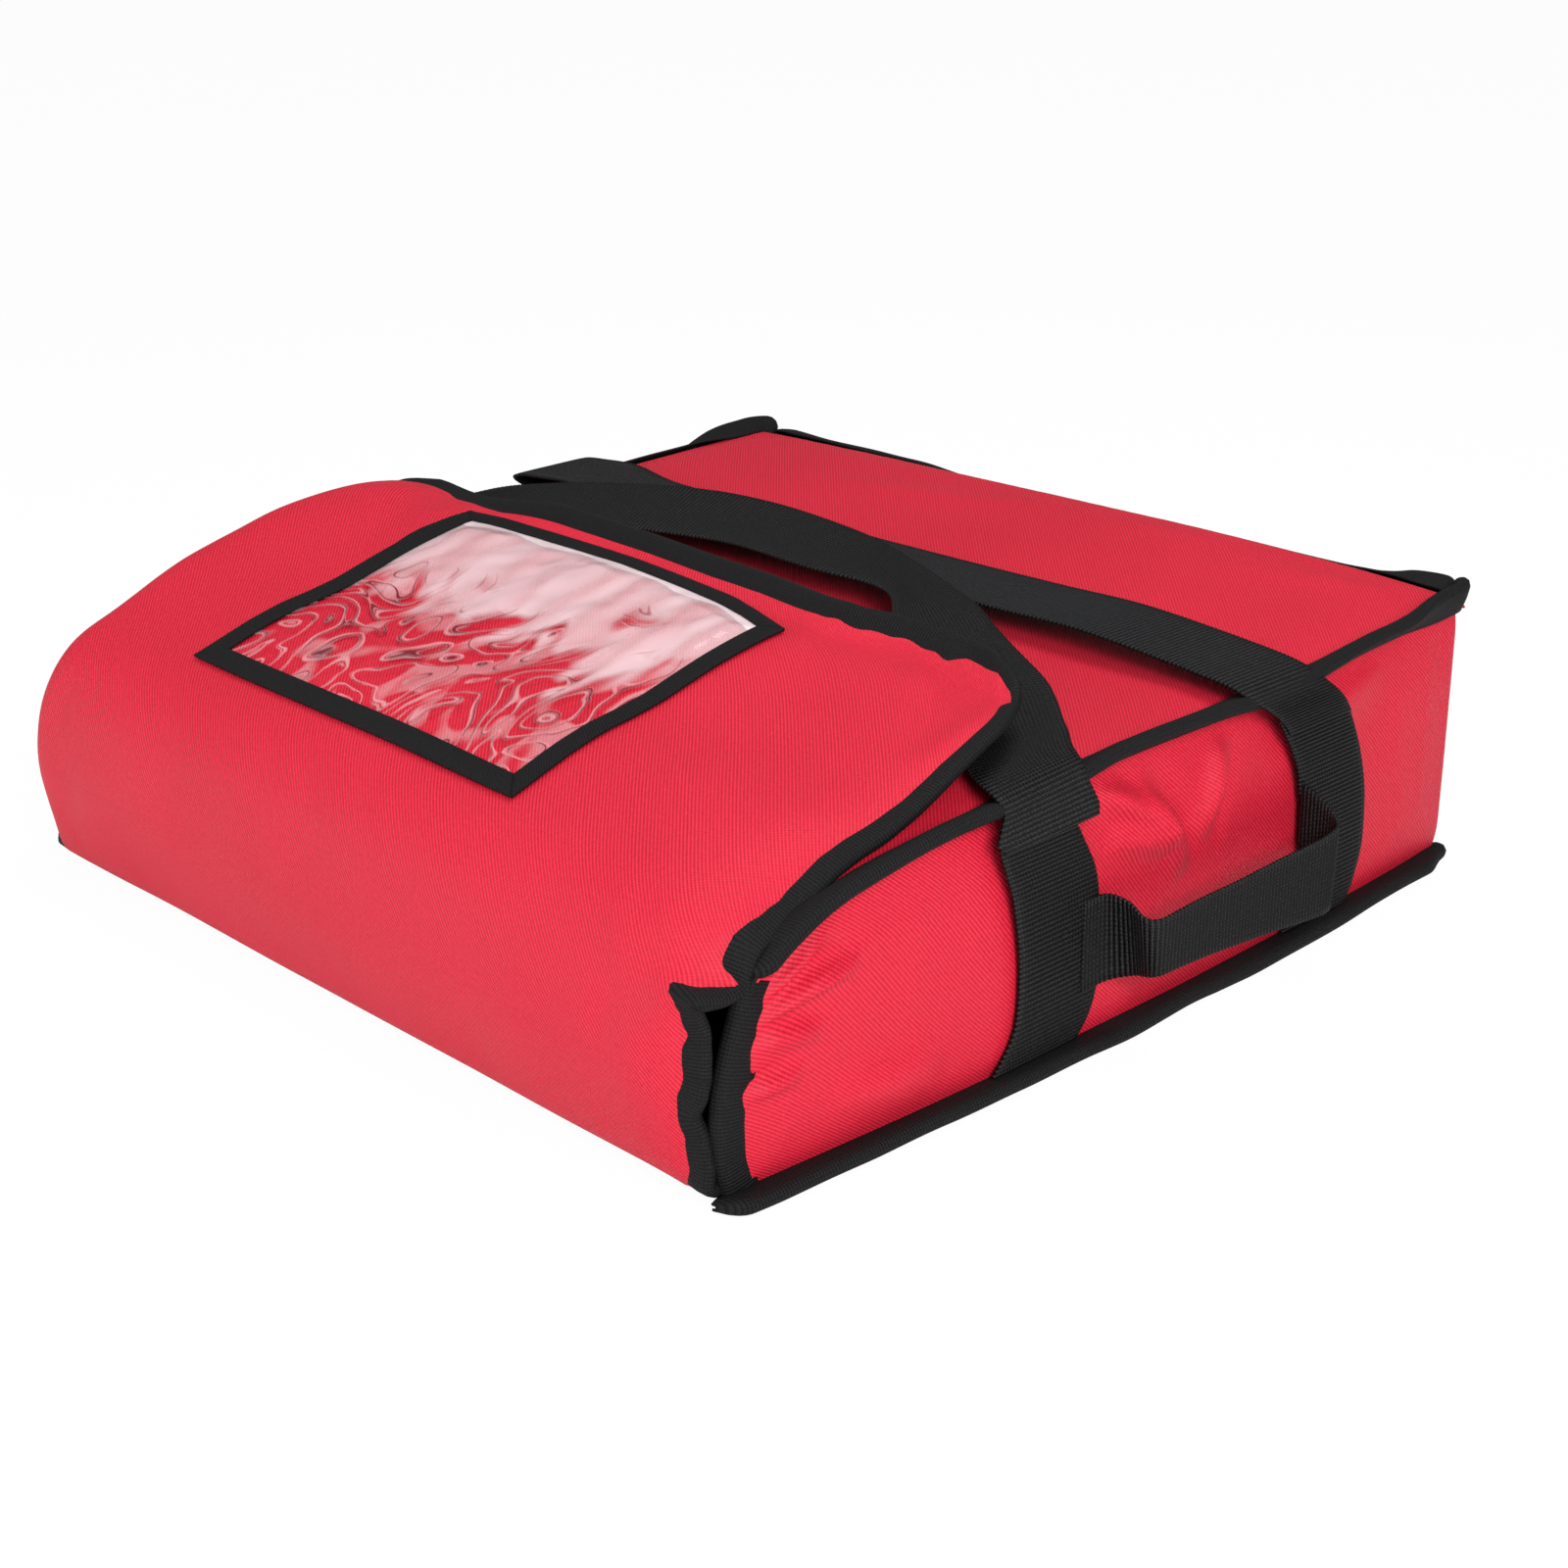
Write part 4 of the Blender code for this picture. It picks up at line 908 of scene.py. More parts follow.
def edge_tape(name, sheet, us, vs, body, nodes, flip=1, leg=TAPE_LEG):
    spot, out, up = sheet_edge(sheet, us, vs)
    for _ in range(6):
        out[1:-1] = unit(out[:-2] + 2 * out[1:-1] + out[2:])
        up[1:-1] = unit(up[:-2] + 2 * up[1:-1] + up[2:])
    spread = PADDING - 2 * sheet.pinch
    return folded_tape(name, spot - up * sheet.pinch, out * flip, up, spread, leg, body, nodes, 0.0003)


tapes = []
ticks = np.linspace(0, 1, 120)
curl = 0.006 / FLAP_RUN
tapes.append(edge_tape("flap_lower_tape_right", flap_sheet, np.ones(120), curl + (cut - curl) * ticks,
                       "flap_front", ["flap_front_binding_right"]))
tapes.append(edge_tape("flap_lower_tape_left", flap_sheet, np.zeros(120), cut + (curl - cut) * ticks,
                       "flap_front", ["flap_front_binding_left"]))
up_v = cut + (1 - cut) * np.linspace(0, 1, 160)
rim_u = np.concatenate([np.ones(159), 1 - np.linspace(0, 1, 200), np.zeros(159)])
rim_v = np.concatenate([up_v[:-1], np.ones(200), up_v[::-1][1:]])
tapes.append(edge_tape("flap_upper_tape", flap_sheet, rim_u, rim_v, "flap_top", ["flap_top_binding"],
                       leg=0.0138))
for side_name, sheet, us, vs, flip in (
        ("top", top_sheet, 1 - ticks, np.zeros(120), -1),
        ("right", wall_sheets["right"], np.zeros(120), ticks, -1),
        ("left", wall_sheets["left"], np.ones(120), ticks, 1)):
    tapes.append(edge_tape(f"mouth_tape_{side_name}", sheet, us, vs, "bag", [f"mouth_binding_{side_name}"],
                           flip))


# Bound seams of the box
# The raw edges of two panels, folded in one tape, stand out as a black bead.

BEAD = 0.0048
TOP_FIN = math.radians(30)
LOW_FIN = math.radians(10)
BACK_FIN = math.radians(-12)
FIN_LENGTH = 0.0088
STRAPS_Y = (-0.074, 0.092)    # where the straps cross the top seams and press them down
BEAD_ROUND = 0.012            # the beads turn round the back corners
STANDS, HANGS = math.radians(45), math.radians(70)    # how far the top side beads turn up or down


def seam_bead(name, edge, away, angle, node, top=False, drawn=0.0):
    """Bead along a seam: away is the level direction out of the box, angle its rise.

    Drawn is the share by which it is drawn in.
    """
    edge = np.asarray(edge, float)
    away = np.broadcast_to(np.asarray(away, float), edge.shape)
    rise = np.array([0.0, 0.0, 1.0])
    waver = np.array([noise.noise(p * 22.0) for p in edge])[:, None]
    sunk = smooth(MOUTH_Y + 0.045, MOUTH_Y + 0.010, edge[:, 1:2]) if top else 0.0
    pressed = sum(np.exp(-((edge[:, 1:2] - y) / 0.03) ** 2) for y in STRAPS_Y) if top else 0.0
    turn = angle * (1 - sunk) * (1 - 0.8 * pressed) + 0.22 * waver
    out = away * np.cos(turn) + rise * np.sin(turn)
    up = -away * np.sin(turn) + rise * np.cos(turn)
    tip = edge + out * (FIN_LENGTH * (1 - 0.75 * sunk) * (1 - drawn) + 0.0006 * waver)
    leg = FIN_LENGTH + 0.003
    return folded_tape(name, tip + up * BEAD / 2, out, up, BEAD, leg, "bag", [node], taper=0.010)


def round_corner(side, ys, xs, last):
    """A line along a side wall that turns round its back corner.

    Returns its points' x and y, and their outward direction.
    """
    angles = np.radians(np.linspace(0, last, 14)[1:])
    x = np.concatenate([xs, xs[-1] - BEAD_ROUND * (1 - np.cos(angles))])
    y = np.concatenate([ys, ys[-1] + BEAD_ROUND * np.sin(angles)])
    turned = np.concatenate([np.zeros(len(ys)), angles])
    return side * x, y, np.stack([side * np.cos(turned), np.sin(turned), np.zeros(len(turned))], 1)


ys = np.linspace(MOUTH_Y, BACK_Y - BEAD_ROUND, 160)
for side_name, side, first_y in (("right", 1, -0.010), ("left", -1, 0.012)):
    x, y, away = round_corner(side, ys, np.full(160, HALF + 0.0003), 85)    # degrees of turn
    near_corner = smooth(0.185, 0.235, y)
    # the right one stands up at the back corner; the left one hangs out of sight up to there
    fin = TOP_FIN + (STANDS * near_corner if side > 0 else -HANGS * (1 - near_corner))
    hidden = 0.0 if side > 0 else 0.0035 * (1 - near_corner)
    line = np.stack([x, y, seam_height(y) + rear_lift(x, y) - hidden], 1)
    tapes.append(seam_bead(f"top_seam_{side_name}", line, away, fin[:, None], f"top_binding_{side_name}",
                           True, 0.35 * near_corner[:, None]))
    low_ys = np.linspace(FRONT_Y + FOLD_RADIUS + first_y, BACK_Y - BEAD_ROUND, 160)
    x, y, away = round_corner(side, low_ys, HALF + SIDE_BOW * bow(low_ys), 60)
    line = np.stack([x, y, np.full(len(y), 0.0026)], 1)
    drawn = 0.7 * smooth(BACK_Y - 0.034, BACK_Y - 0.008, y)[:, None]
    tapes.append(seam_bead(f"bottom_seam_{side_name}", line, away, LOW_FIN, f"bottom_binding_{side_name}",
                           drawn=drawn))
xs = np.linspace(0.009 - HALF, HALF - 0.009, 160)
# behind the middle of the top the bead hangs lower, out of sight
hangs = smooth(-0.13, -0.06, xs) * smooth(0.215, 0.175, xs)
line = np.stack([xs, np.full(160, BACK_Y), 0.1262 + rear_lift(xs, BACK_Y) - 0.003 * hangs], 1)
fin = BACK_FIN - math.radians(25) * hangs + math.radians(25) * smooth(0.195, 0.235, xs)
tapes.append(seam_bead("top_seam_back", line, (0, 1, 0), fin[:, None], "top_binding_back"))
xs = np.linspace(0.012 - HALF, HALF - 0.012, 160)
line = np.stack([xs, np.full(160, BACK_Y), np.full(160, 0.0026)], 1)
tapes.append(seam_bead("bottom_seam_back", line, (0, 1, 0), LOW_FIN, "bottom_binding_back"))


# Ticket window
# Clear soft vinyl laid on the flap under a frame of black tape. It ripples. Its colour has a milky
# haze, partly that of a film that has been folded and warmed and partly painted reflection, and painted
# reflection lines.

def flap_share(point):
    """Shares u, v of the flap sheet nearest to a point."""
    gap = np.linalg.norm(flap_sheet.points - np.asarray(point), axis=-1)
    i, j = np.unravel_index(np.argmin(gap), gap.shape)
    return i / (gap.shape[0] - 1), j / (gap.shape[1] - 1)


# the window's outline, as place across the flap and run up it, read from the photo: its front
# corners, and its rear edge, which isn't cut straight
WINDOW_FRONT = np.array(((-0.1441, 0.1537), (0.0991, 0.1503)))
WINDOW_REAR = np.array(((-0.1468, 0.3271), (-0.120, 0.3305), (-0.085, 0.3325), (-0.020, 0.3332),
                        (0.028, 0.3330), (0.050, 0.3310), (0.072, 0.3270), (0.1011, 0.3196)))
FRAME_TAPE = 0.0120
REAR_TAPE = 0.0088       # of the rear length less shows, because the flap's binding lies over it
WINDOW_WIDE, WINDOW_LONG = 0.246, 0.174
FRAME_BOW = 0.0035       # the right length of tape isn't quite straight


def window_spot(a, b, lift):
    """A point of the window, at shares a across it and b up it."""
    a, b = np.asarray(a, float), np.asarray(b, float)
    front_x, rear_x = (ends[0, 0] * (1 - a) + ends[-1, 0] * a for ends in (WINDOW_FRONT, WINDOW_REAR))
    front_run = WINDOW_FRONT[0, 1] * (1 - a) + WINDOW_FRONT[1, 1] * a
    rear_run = np.interp(rear_x, *WINDOW_REAR.T)
    x = front_x * (1 - b) + rear_x * b - FRAME_BOW * a ** 4 * np.sin(math.pi * b)
    return on_flap(x, (front_run * (1 - b) + rear_run * b) / FLAP_RUN, lift)


def on_flap(x, v, lift):
    run = v * FLAP_RUN
    return flap_sheet.at((x / flap_half(run) + 1) / 2, v, lift)


TAPE_A, TAPE_B, TAPE_R = FRAME_TAPE / WINDOW_WIDE, FRAME_TAPE / WINDOW_LONG, 1 - REAR_TAPE / WINDOW_LONG
window_parts = []
# one length of tape on each side: its outer edge, and its inner one, cut to a mitre
for side_name, outer, inner, lift in (
        ("front", ((0, 0), (1, 0)), ((TAPE_A, TAPE_B), (1 - TAPE_A, TAPE_B)), 0.0012),
        ("rear", ((1, 1), (0, 1)), ((1 - TAPE_A, TAPE_R), (TAPE_A, TAPE_R)), 0.0012),
        ("left", ((0, 1), (0, 0)), ((TAPE_A, TAPE_R), (TAPE_A, TAPE_B)), 0.0010),
        ("right", ((1, 0), (1, 1)), ((1 - TAPE_A, TAPE_B), (1 - TAPE_A, TAPE_R)), 0.0010)):
    outer, inner = np.array(outer, float), np.array(inner, float)
    long = WINDOW_WIDE if side_name in ("front", "rear") else WINDOW_LONG

    def frame_place(u, v):
        from_edge = outer[0] + (outer[1] - outer[0]) * u[:, None]
        to_edge = inner[0] + (inner[1] - inner[0]) * u[:, None]
        shares = from_edge * (1 - v[:, None]) + to_edge * v[:, None]
        swell = 0.0005 * np.sin(math.pi * v) ** 0.5
        return window_spot(shares[:, 0], shares[:, 1], lift + swell)

    mesh = grid_mesh(f"window_frame_{side_name}", round(long / 0.002), 8, frame_place, (long, FRAME_TAPE))
    window_parts.append(piece(f"window_frame_{side_name}", mesh, BLACK_TAPE, "flap_top",
                              [f"window_tape_{side_name}"], TAPE))


def spread_noise(tree, uv, across, along, detail, distortion):
    """Noise over the film, with its own scale across and along it."""
    scaled = add(tree, "ShaderNodeVectorMath", {"operation": "MULTIPLY"}, {0: uv, 1: (across, along, 1.0)})
    settings = {"Vector": scaled.outputs[0], "Scale": 1.0, "Detail": detail, "Distortion": distortion}
    return add(tree, "ShaderNodeTexNoise", None, settings).outputs[0]


def band(tree, value, low, high, from_value=0.0, to_value=1.0):
    """The value eased from one level to another between low and high."""
    return add(tree, "ShaderNodeMapRange", {"interpolation_type": "SMOOTHSTEP"},
               {0: value, 1: low, 2: high, 3: from_value, 4: to_value}).outputs[0]


def clear_vinyl(length):
    """Soft clear vinyl: glossy, with a milky haze towards its rear, partly its own and partly painted
    reflection, and wavy contour lines with glints and patches, painted reflections of a rippled film."""
    made, tree, shader, uv = shade("clear_soft_vinyl", 0.12, Specular_IOR_Level=0.5)
    across, along, _ = add(tree, "ShaderNodeSeparateXYZ", None, {0: uv}).outputs
    # the milky haze, partly the film's own and partly painted reflection: its level goes from 0 at the
    # film's front to 1 at its rear, with an uneven border
    unevenness = maths(tree, "MULTIPLY_ADD", spread_noise(tree, uv, 30.0, 16.0, 1.0, 1.5), 1.0, -0.5)
    level = maths(tree, "MULTIPLY_ADD", along, 1 / length, unevenness)
    streak = band(tree, spread_noise(tree, uv, 60.0, 6.0, 0.0, 0.4), 0.30, 0.75, 0.62, 1.0)
    haze_and_reflection = maths(tree, "MULTIPLY", maths(tree, "MULTIPLY", band(tree, level, 0.40, 0.62), streak), 0.45)
    # painted reflection: contour lines of a rippled film, each with a painted glint beside it, and pale
    # patches between them
    middle = maths(tree, "MULTIPLY", band(tree, level, 0.0, 0.22), band(tree, level, 0.48, 0.70, 1.0, 0.0))
    ripple = spread_noise(tree, uv, 20.0, 12.0, 0.0, 2.2)
    line = band(tree, maths(tree, "PINGPONG", ripple, 0.075), 0.003, 0.009, 1.0, 0.0)
    line = maths(tree, "MULTIPLY", line, middle)
    beside = maths(tree, "PINGPONG", maths(tree, "ADD", ripple, 0.022), 0.075)
    glint = maths(tree, "MULTIPLY", band(tree, beside, 0.003, 0.012, 1.0, 0.0),
                  band(tree, level, 0.55, 0.75, 0.18, 0.0))
    patch = band(tree, spread_noise(tree, uv, 24.0, 15.0, 0.0, 1.8), 0.52, 0.58)
    # the white scalloped line along the rear edge
    scallop = maths(tree, "SINE", maths(tree, "MULTIPLY", across, 120.0))
    rim = band(tree, maths(tree, "MULTIPLY_ADD", scallop, 0.0018, along), length - 0.0095, length - 0.0075)
    alpha = maths(tree, "MULTIPLY_ADD", maths(tree, "MULTIPLY", patch, middle), 0.11, haze_and_reflection)
    alpha = maths(tree, "MAXIMUM", alpha, glint)
    alpha = maths(tree, "MAXIMUM", alpha, maths(tree, "MULTIPLY", line, 0.65))
    alpha = maths(tree, "MINIMUM", maths(tree, "MAXIMUM", alpha, maths(tree, "MULTIPLY", rim, 0.8)), 0.80)
    tree.links.new(alpha, shader.inputs["Alpha"])
    # the painted reflection lines are coloured dark red, the rest of the film pale pink
    colour_mix(tree, shader, line, "#f0dade", "#7a0c20")
    return made


VINYL = 0.0005
FILM_A, FILM_B = 0.6 * TAPE_A, 0.6 * TAPE_B
FILM_WIDE = (1 - 2 * FILM_A) * WINDOW_WIDE
FILM_LONG = (TAPE_R + 0.4 * (1 - TAPE_R) - FILM_B) * WINDOW_LONG
RIPPLE_WIDE, RIPPLE_LONG, RIPPLE_REACH = 0.228, 0.154, 0.014
CLEAR_VINYL = clear_vinyl(FILM_LONG)


def vinyl_place(u, v):
    """The film, sewn down along its borders and rippled up off the cloth between them."""
    edge = np.minimum(np.minimum(u, 1 - u) * RIPPLE_WIDE, np.minimum(v, 1 - v) * RIPPLE_LONG)
    ripple = np.array([noise.noise((a * 9.0, b * 5.0, 1.7)) + 0.5 * noise.noise((a * 21.0, b * 12.0, 4.1))
                       for a, b in zip(u, v)])
    lift = 0.0006 + 0.0022 * np.clip(edge / RIPPLE_REACH, 0, 1) ** 2 * (0.8 + ripple)
    return window_spot(FILM_A + FILM_WIDE / WINDOW_WIDE * u, FILM_B + FILM_LONG / WINDOW_LONG * v, lift)


vinyl_mesh = grid_mesh("window_vinyl_film", 150, 110, vinyl_place, (FILM_WIDE, FILM_LONG))
vinyl = piece("window_vinyl_film", vinyl_mesh, CLEAR_VINYL, "flap_top", ["window_vinyl"],
              VINYL)
window_parts.append(vinyl)


# Hook-and-loop tapes
# The hook side is sewn inside the flap, the loop side on the top panel below it.

FASTENER = 0.0014
PILE = ribbed_tape("hook_and_loop_pile", 0.0011, 0.0005, "#080809", "#262628", 0.95)
loop_low, loop_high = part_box("loop_tape")
FASTENER_HALF = loop_high.x


def loop_place(u, v):
    x = FASTENER_HALF * (2 * u - 1)
    y = loop_low.y + (loop_high.y - loop_low.y) * v
    return top_sheet.at((x / HALF + 1) / 2, (y - MOUTH_Y) / (BACK_Y - MOUTH_Y), 0.0003)


def hook_place(u, v):
    v = hook_front + (hook_rear - hook_front) * v
    return on_flap(FASTENER_HALF * (2 * u - 1), v, -PADDING - 0.0003)


mesh = grid_mesh("loop_side", 120, 16, loop_place, (2 * FASTENER_HALF, loop_high.y - loop_low.y))
loop_side = piece("loop_side", mesh, PILE, "bag", ["loop_tape"], FASTENER)
hook_low, hook_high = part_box("hook_tape")
hook_front = flap_share((0, hook_low.y, 0.134))[1]
hook_rear = flap_share((0, hook_high.y, 0.142))[1]
hook_wide, hook_long = 2 * FASTENER_HALF, (hook_rear - hook_front) * FLAP_RUN
mesh = grid_mesh("hook_side", round(hook_wide / 0.002), round(hook_long / 0.002), hook_place,
                 (hook_wide, hook_long))
hook_side = piece("hook_side", mesh, PILE, "flap_top", ["hook_tape"], FASTENER, -1.0)


# Webbing
# Heavy black polypropylene webbing with cross ribs, 50 mm wide on the carry straps
# and 38 mm on the grab handles.

WEB_RIB = 0.0024
WEB_THICK = 0.0015
BLACK_WEBBING = ribbed_tape("polypropylene_webbing", WEB_RIB, 0.0006, "#020202", "#2b2b2d", 0.6, 0.42)


def rails_of(node, axis, side, keep=None):
    """Both edges of a CAD webbing solid, station by station from one of its ends."""
    shape = bmesh.new()
    shape.from_mesh(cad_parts[node].data)
    bmesh.ops.remove_doubles(shape, verts=shape.verts, dist=2e-5)
    usable = [v for v in shape.verts if keep is None or keep(v.co)]
    tip = max(v.co[axis] * side for v in usable)
    ring = [v for v in usable if v.co[axis] * side > tip - 0.0015]
    seen = set(ring)
    rails = []
    while ring:
        spots = [v.co.copy() for v in ring]
        first = spots[0]
        partner = min(spots[1:], key=lambda p: (p - first).length)
        others = [p for p in spots[1:] if p is not partner]
        pair = [(first + partner) / 2, sum(others, Vector()) / len(others)]
        if rails:
            if (pair[0] - rails[-1][0]).length > (pair[1] - rails[-1][0]).length:
                pair.reverse()
        elif pair[0].y > pair[1].y or (abs(pair[0].y - pair[1].y) < 1e-4 and pair[0].z > pair[1].z):
            pair.reverse()
        rails.append(pair)
        following = {e.other_vert(v) for v in ring for e in v.link_edges} - seen
        seen |= following
        ring = list(following)
    shape.free()
    return np.array(rails)


def even(rails, step, passes=160):
    """Rails refined, read again at even steps of their middle line and eased round their turns."""
    fine = rails
    for _ in range(4):
        fine = refine(fine, 0)
    middle = fine.mean(1)
    run = np.concatenate([[0], np.cumsum(np.linalg.norm(np.diff(middle, axis=0), axis=1))])
    count = round(run[-1] / step)
    s = np.linspace(0, run[-1], count + 1)
    spread = np.stack([[np.interp(s, run, fine[:, r, k]) for k in range(3)] for r in (0, 1)])
    spread = spread.transpose(2, 0, 1)
    for _ in range(passes):
        spread[1:-1] = (spread[:-2] + 2 * spread[1:-1] + spread[2:]) / 4
    return s, spread


def webbing(name, rails, s, body, nodes, across=12):
    """Webbing between rails at the runs s, with its ribs and scalloped edges modelled."""
    width = np.linalg.norm(rails[:, 1] - rails[:, 0], axis=1).mean()
    side = unit(rails[:, 1] - rails[:, 0])
    ahead = unit(np.gradient(rails.mean(1), axis=0))
    face = unit(np.cross(ahead, side))
    count = len(s) - 1

    def place(u, v):
        i = np.rint(u * count).astype(int)
        rib = np.cos(2 * math.pi * s[i] / WEB_RIB)
        spot = rails[i, 0] * (1 - v)[:, None] + rails[i, 1] * v[:, None]
        edge = np.abs(2 * v - 1) ** 8
        lift = 0.00026 * rib * (1 - edge)
        return spot + face[i] * lift[:, None] + side[i] * (0.00022 * rib * edge * np.sign(v - 0.5))[:, None]

    mesh = grid_mesh(name, count, across, place, (s[-1] - s[0], width))
    return piece(name, mesh, BLACK_WEBBING, body, nodes, WEB_THICK, 0.0)


STEP = WEB_RIB / 4
# the sewn foot of a front strap: height, and where its front and rear borders are
STRAP_FOOT = np.array((
    (0.0085, -0.1030, -0.0490), (0.0150, -0.0970, -0.0430), (0.0240, -0.0910, -0.0385),
    (0.0350, -0.0885, -0.0365), (0.0500, -0.0878, -0.0365), (0.0650, -0.0890, -0.0372),
    (0.0780, -0.0915, -0.0385), (0.0900, -0.0945, -0.0425), (0.1010, -0.0990, -0.0490),
    (0.1110, -0.1030, -0.0550), (0.1180, -0.1045, -0.0590)))
# the same for a rear strap
REAR_FOOT = np.array((
    (0.0085, 0.1030, 0.1520), (0.0150, 0.1070, 0.1570), (0.0240, 0.1110, 0.1605),
    (0.0350, 0.1135, 0.1635), (0.0500, 0.1140, 0.1635), (0.0650, 0.1120, 0.1620),
    (0.0780, 0.1085, 0.1585), (0.0900, 0.1055, 0.1540), (0.1010, 0.0995, 0.1485),
    (0.1110, 0.0930, 0.1430), (0.1200, 0.0865, 0.1360)))
STRAP_END_Z = 0.1110     # the loop's ends are sewn over the feet and stop here
# the front loop's way over the top, from right to left: its front and rear borders
LOOP_WAY = np.array((
    (0.2425, -0.0965, 0.1349, 0.2510, -0.0460, 0.1397), (0.2200, -0.0815, 0.1350, 0.2400, -0.0355, 0.1405),
    (0.1957, -0.0632, 0.1358, 0.2290, -0.0262, 0.1412), (0.1690, -0.0430, 0.1378, 0.2000, -0.0010, 0.1428),
    (0.1440, -0.0270, 0.1410, 0.1691, 0.0161, 0.1447), (0.1180, -0.0115, 0.1443, 0.1393, 0.0331, 0.1460),
    (0.1000, 0.0035, 0.1462, 0.1150, 0.0480, 0.1475), (0.0860, 0.0180, 0.1475, 0.0910, 0.0585, 0.1482),
    (0.0700, 0.0320, 0.1483, 0.0660, 0.0680, 0.1494), (0.0517, 0.0355, 0.1490, 0.0430, 0.0745, 0.1510),
    (0.0293, 0.0323, 0.1492, 0.0240, 0.0795, 0.1526), (0.0040, 0.0314, 0.1493, 0.0030, 0.0817, 0.1540),
    (-0.0202, 0.0323, 0.1495, -0.0200, 0.0825, 0.1552), (-0.0453, 0.0321, 0.1492, -0.0521, 0.0817, 0.1566),
    (-0.0746, 0.0250, 0.1486, -0.0860, 0.0730, 0.1585), (-0.1040, 0.0150, 0.1480, -0.1179, 0.0610, 0.1582),
    (-0.1362, 0.0030, 0.1465, -0.1490, 0.0525, 0.1550), (-0.1675, -0.0135, 0.1450, -0.1740, 0.0385, 0.1533),
)).reshape(-1, 2, 3)
front_right = rails_of("front_strap_right", 2, -1)
front_loop = rails_of("front_carry_loop", 0, 1)
front_left = rails_of("front_strap_left", 2, -1)
before_way = front_right[front_right.mean(1)[:, 0] > 0.2575]
after_way = np.concatenate([front_loop[1:], front_left[::-1][1:]])
after_way = after_way[after_way.mean(1)[:, 0] < -0.192]
front_all = np.concatenate([before_way, LOOP_WAY, after_way])
s, rails = even(front_all, STEP)
loop_low_x, loop_high_x = (corner.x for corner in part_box("front_carry_loop"))
middle_x = rails.mean(1)[:, 0]
low = rails.mean(1)[:, 2] < STRAP_END_Z
start, end = int(np.argmax(~low)), len(s) - int(np.argmax(~low[::-1]))
# near its ends the loop's webbing is wider at the back, where the foot is drawn in below it
over = np.clip(1 - np.abs(rails.mean(1)[:, 2] - 0.117) / 0.012, 0, 1) * (np.abs(middle_x) > HALF)
rails[:, 0, 1] -= 0.0093 * over
rails[:, 1, 1] += 0.0030 * over
above = rails.mean(1)[:, 2] - STRAP_END_Z
rails[:, :, 0] += (np.sign(middle_x) * 0.0019 * smooth(0.020, 0.0, above))[:, None]
first = int(np.argmax(middle_x < loop_high_x))
last = int(np.argmax(middle_x < loop_low_x))
front_right_web = webbing("front_strap_web_right", rails[start:first + 1], s[start:first + 1], "bag",
                          ["front_strap_right"])
front_loop_web = webbing("front_loop_web", rails[first:last + 1], s[first:last + 1], "front_carry_loop",
                         ["front_carry_loop"])
front_left_web = webbing("front_strap_web_left", rails[last:end], s[last:end], "bag", ["front_strap_left"])


def strap_feet(name, table, line):
    """The sewn feet of a pair of straps, lying on the walls as their CAD middle line does."""
    made = []
    for side_name, side in (("right", 1), ("left", -1)):
        foot_rails = np.array([[(0.0, y, z) for y in (front, rear)] for z, front, rear in table])
        foot_s, foot_rails = even(foot_rails, STEP, 20)
        foot_rails[..., 0] = side * np.interp(foot_rails[..., 2], line[:, 2], line[:, 0])
        made.append(webbing(f"{name}_{side_name}", foot_rails, foot_s, "bag", []))
    return made


foot_webs = strap_feet("front_foot_web", STRAP_FOOT, front_right.mean(1)[:10])

# the rear loop's right end, from where it is sewn on up over the top seam: its front and rear borders
REAR_END = np.array((
    (0.2632, 0.0950, 0.1110, 0.2632, 0.1425, 0.1110), (0.2640, 0.0865, 0.1200, 0.2640, 0.1350, 0.1200),
    (0.2635, 0.0745, 0.1285, 0.2635, 0.1245, 0.1285), (0.2600, 0.0660, 0.1345, 0.2600, 0.1170, 0.1345),
    (0.2540, 0.0645, 0.1375, 0.2540, 0.1155, 0.1375), (0.2470, 0.0645, 0.1388, 0.2470, 0.1155, 0.1388),
    (0.2350, 0.0640, 0.1400, 0.2350, 0.1155, 0.1400), (0.2060, 0.0635, 0.1425, 0.2060, 0.1145, 0.1425),
)).reshape(-1, 2, 3)
rear_loop = rails_of("rear_carry_loop", 2, -1, keep=lambda co: co.x > 0)
rear_middle = rear_loop[np.abs(rear_loop.mean(1)[:, 0]) < 0.18]
rear_all = np.concatenate([REAR_END, rear_middle, (REAR_END * (-1, 1, 1))[::-1]])
s, rails = even(rear_all, STEP, 60)
rear_web = webbing("rear_strap_web", rails, s, "bag",
                   ["rear_strap_right", "rear_carry_loop", "rear_strap_left"])
rear_line = np.array(((0.2611, 0.0, 0.0), (0.2614, 0.0, 0.040), (0.2616, 0.0, 0.080), (0.2622, 0.0, 0.130)))
rear_feet = strap_feet("rear_foot_web", REAR_FOOT, rear_line)

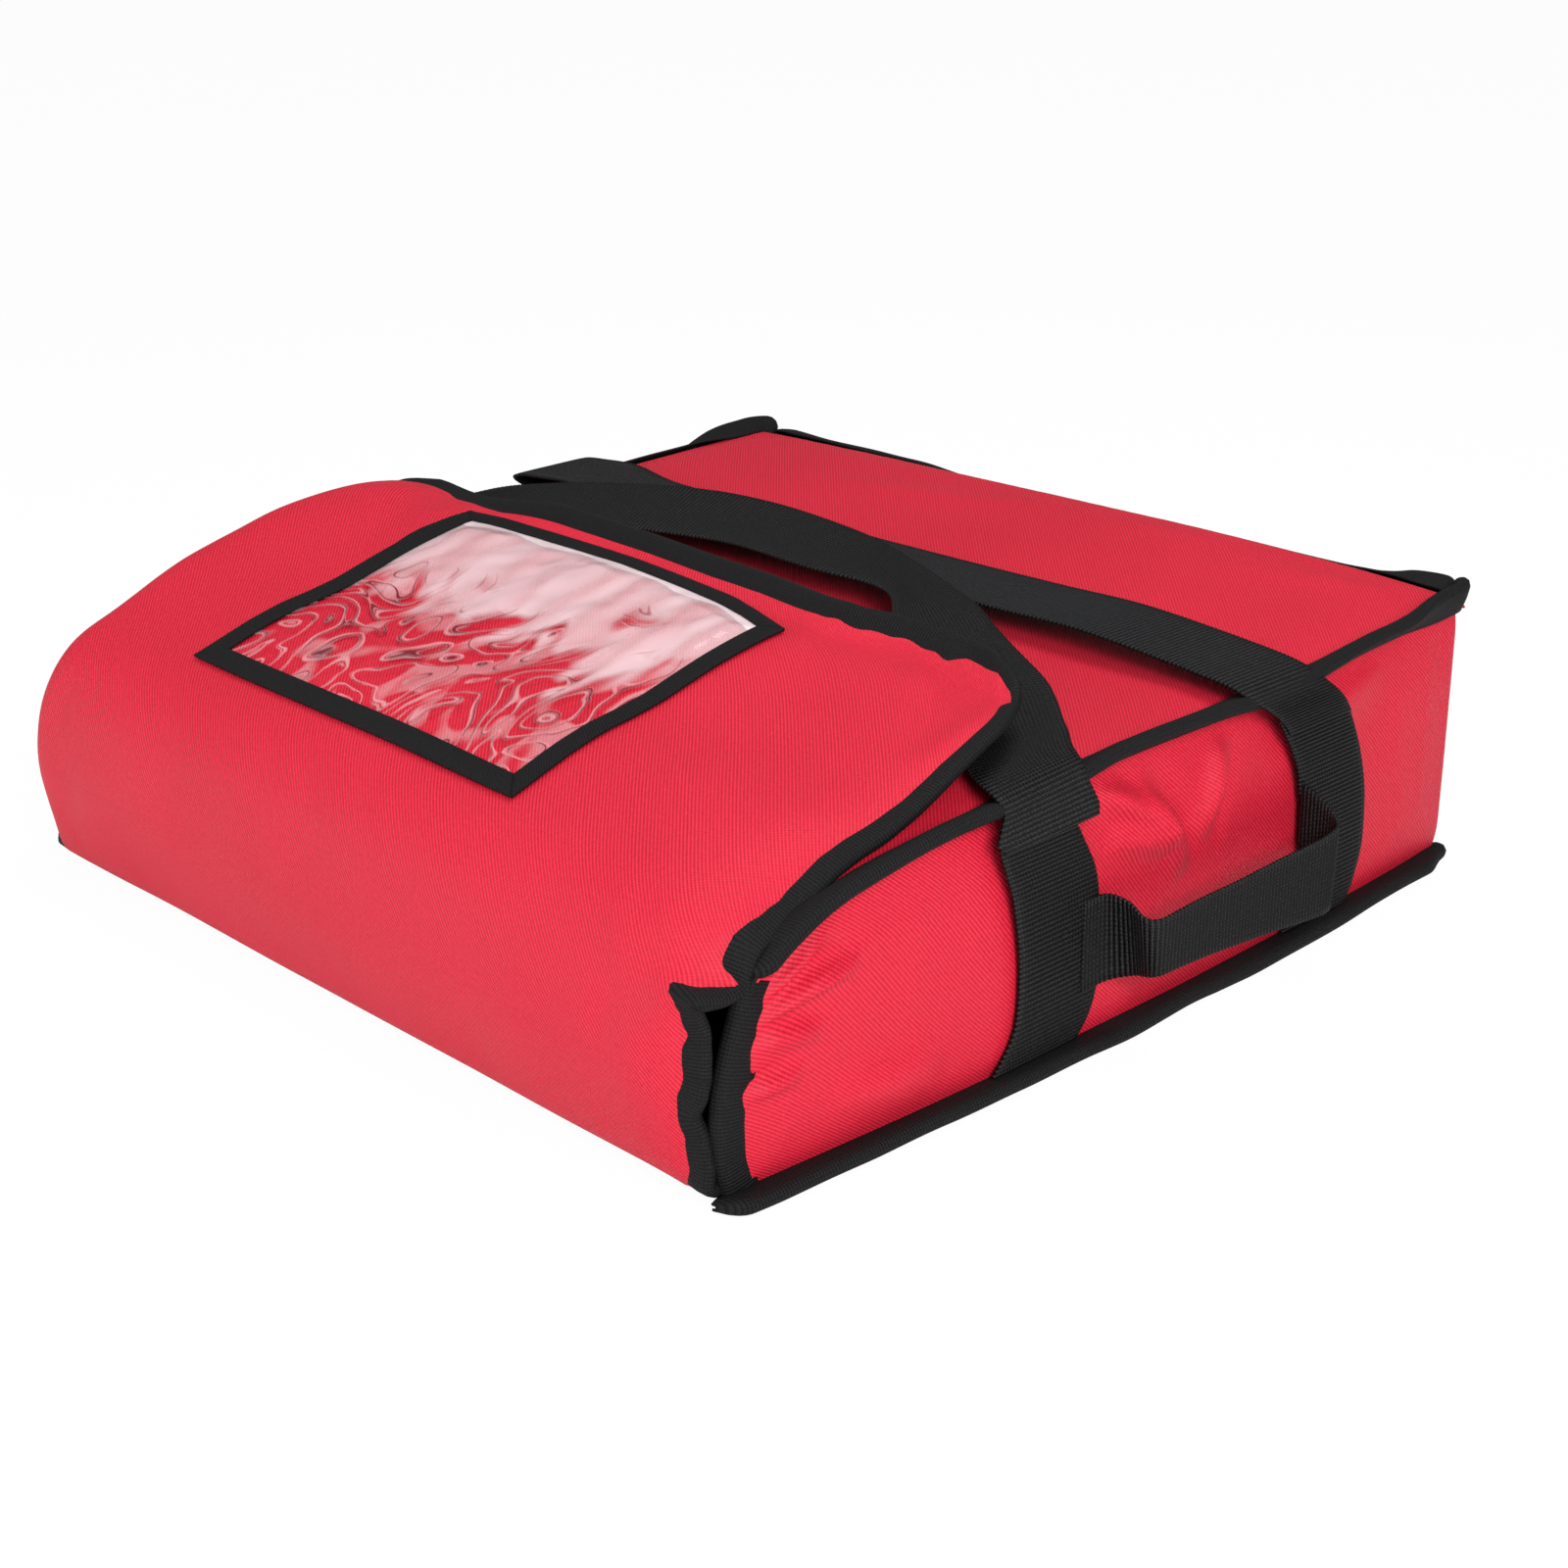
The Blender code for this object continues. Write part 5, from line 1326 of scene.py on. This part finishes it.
# the grab handle's lower and upper borders, from its front foot to its rear one
GRAB_WAY = np.array((
    (0.2628, -0.0480, 0.0300, 0.2628, -0.0480, 0.0720), (0.2630, -0.0340, 0.0305, 0.2630, -0.0355, 0.0726),
    (0.2665, -0.0270, 0.0315, 0.2680, -0.0325, 0.0724), (0.2740, -0.0235, 0.0340, 0.2770, -0.0330, 0.0712),
    (0.2820, -0.0270, 0.0370, 0.2860, -0.0365, 0.0690), (0.2880, -0.0280, 0.0395, 0.2900, -0.0310, 0.0675),
    (0.2895, -0.0180, 0.0400, 0.2900, -0.0180, 0.0678), (0.2898, 0.0000, 0.0395, 0.2898, 0.0000, 0.0685),
    (0.2898, 0.0250, 0.0375, 0.2898, 0.0250, 0.0685), (0.2898, 0.0570, 0.0345, 0.2898, 0.0570, 0.0695),
    (0.2898, 0.0880, 0.0310, 0.2898, 0.0880, 0.0700), (0.2870, 0.1020, 0.0310, 0.2870, 0.1040, 0.0715),
    (0.2780, 0.1085, 0.0370, 0.2780, 0.1085, 0.0760), (0.2690, 0.1090, 0.0450, 0.2690, 0.1080, 0.0815),
    (0.2606, 0.1120, 0.0490, 0.2606, 0.1110, 0.0842), (0.2598, 0.1320, 0.0490, 0.2598, 0.1320, 0.0845),
)).reshape(-1, 2, 3)
grab_webs = []
for side_name, side in (("right", 1), ("left", -1)):
    s, rails = even(GRAB_WAY * (side, 1, 1), STEP, 30)
    grab_webs.append(webbing(f"grab_web_{side_name}", rails, s, f"grab_handle_{side_name}",
                             [f"grab_handle_{side_name}"], across=10))


# Riding on the frame
# Plain pieces follow their body. Cloth and webbing that cross a fold are only baked
# where they lie, and follow no body.

for made in (bottom_parts + top_parts + wall_parts + back_parts + window_parts + foot_webs
             + [loop_side, hook_side]):
    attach(made, made["body"])
for made in flap_low:
    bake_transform(made)
for made in flap_high:
    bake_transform(made)
for made in tapes:
    if made["body"] == "flap_front":
        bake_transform(made)
    elif made["body"] == "flap_top":
        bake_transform(made)
    else:
        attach(made, "bag")
for made, loop_end, from_end, to_end in (
        (front_right_web, loop_high_x, 0.095, 0.004), (front_left_web, loop_low_x, -0.055, -0.004)):
    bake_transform(made)
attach(front_loop_web, "front_carry_loop")
for made in rear_feet + [rear_web]:
    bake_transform(made)
grab_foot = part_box("grab_handle_right")[0].x
for made, side in zip(grab_webs, (1, -1)):
    held, free = (side * (grab_foot + reach) for reach in (0.002, 0.013))
    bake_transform(made)
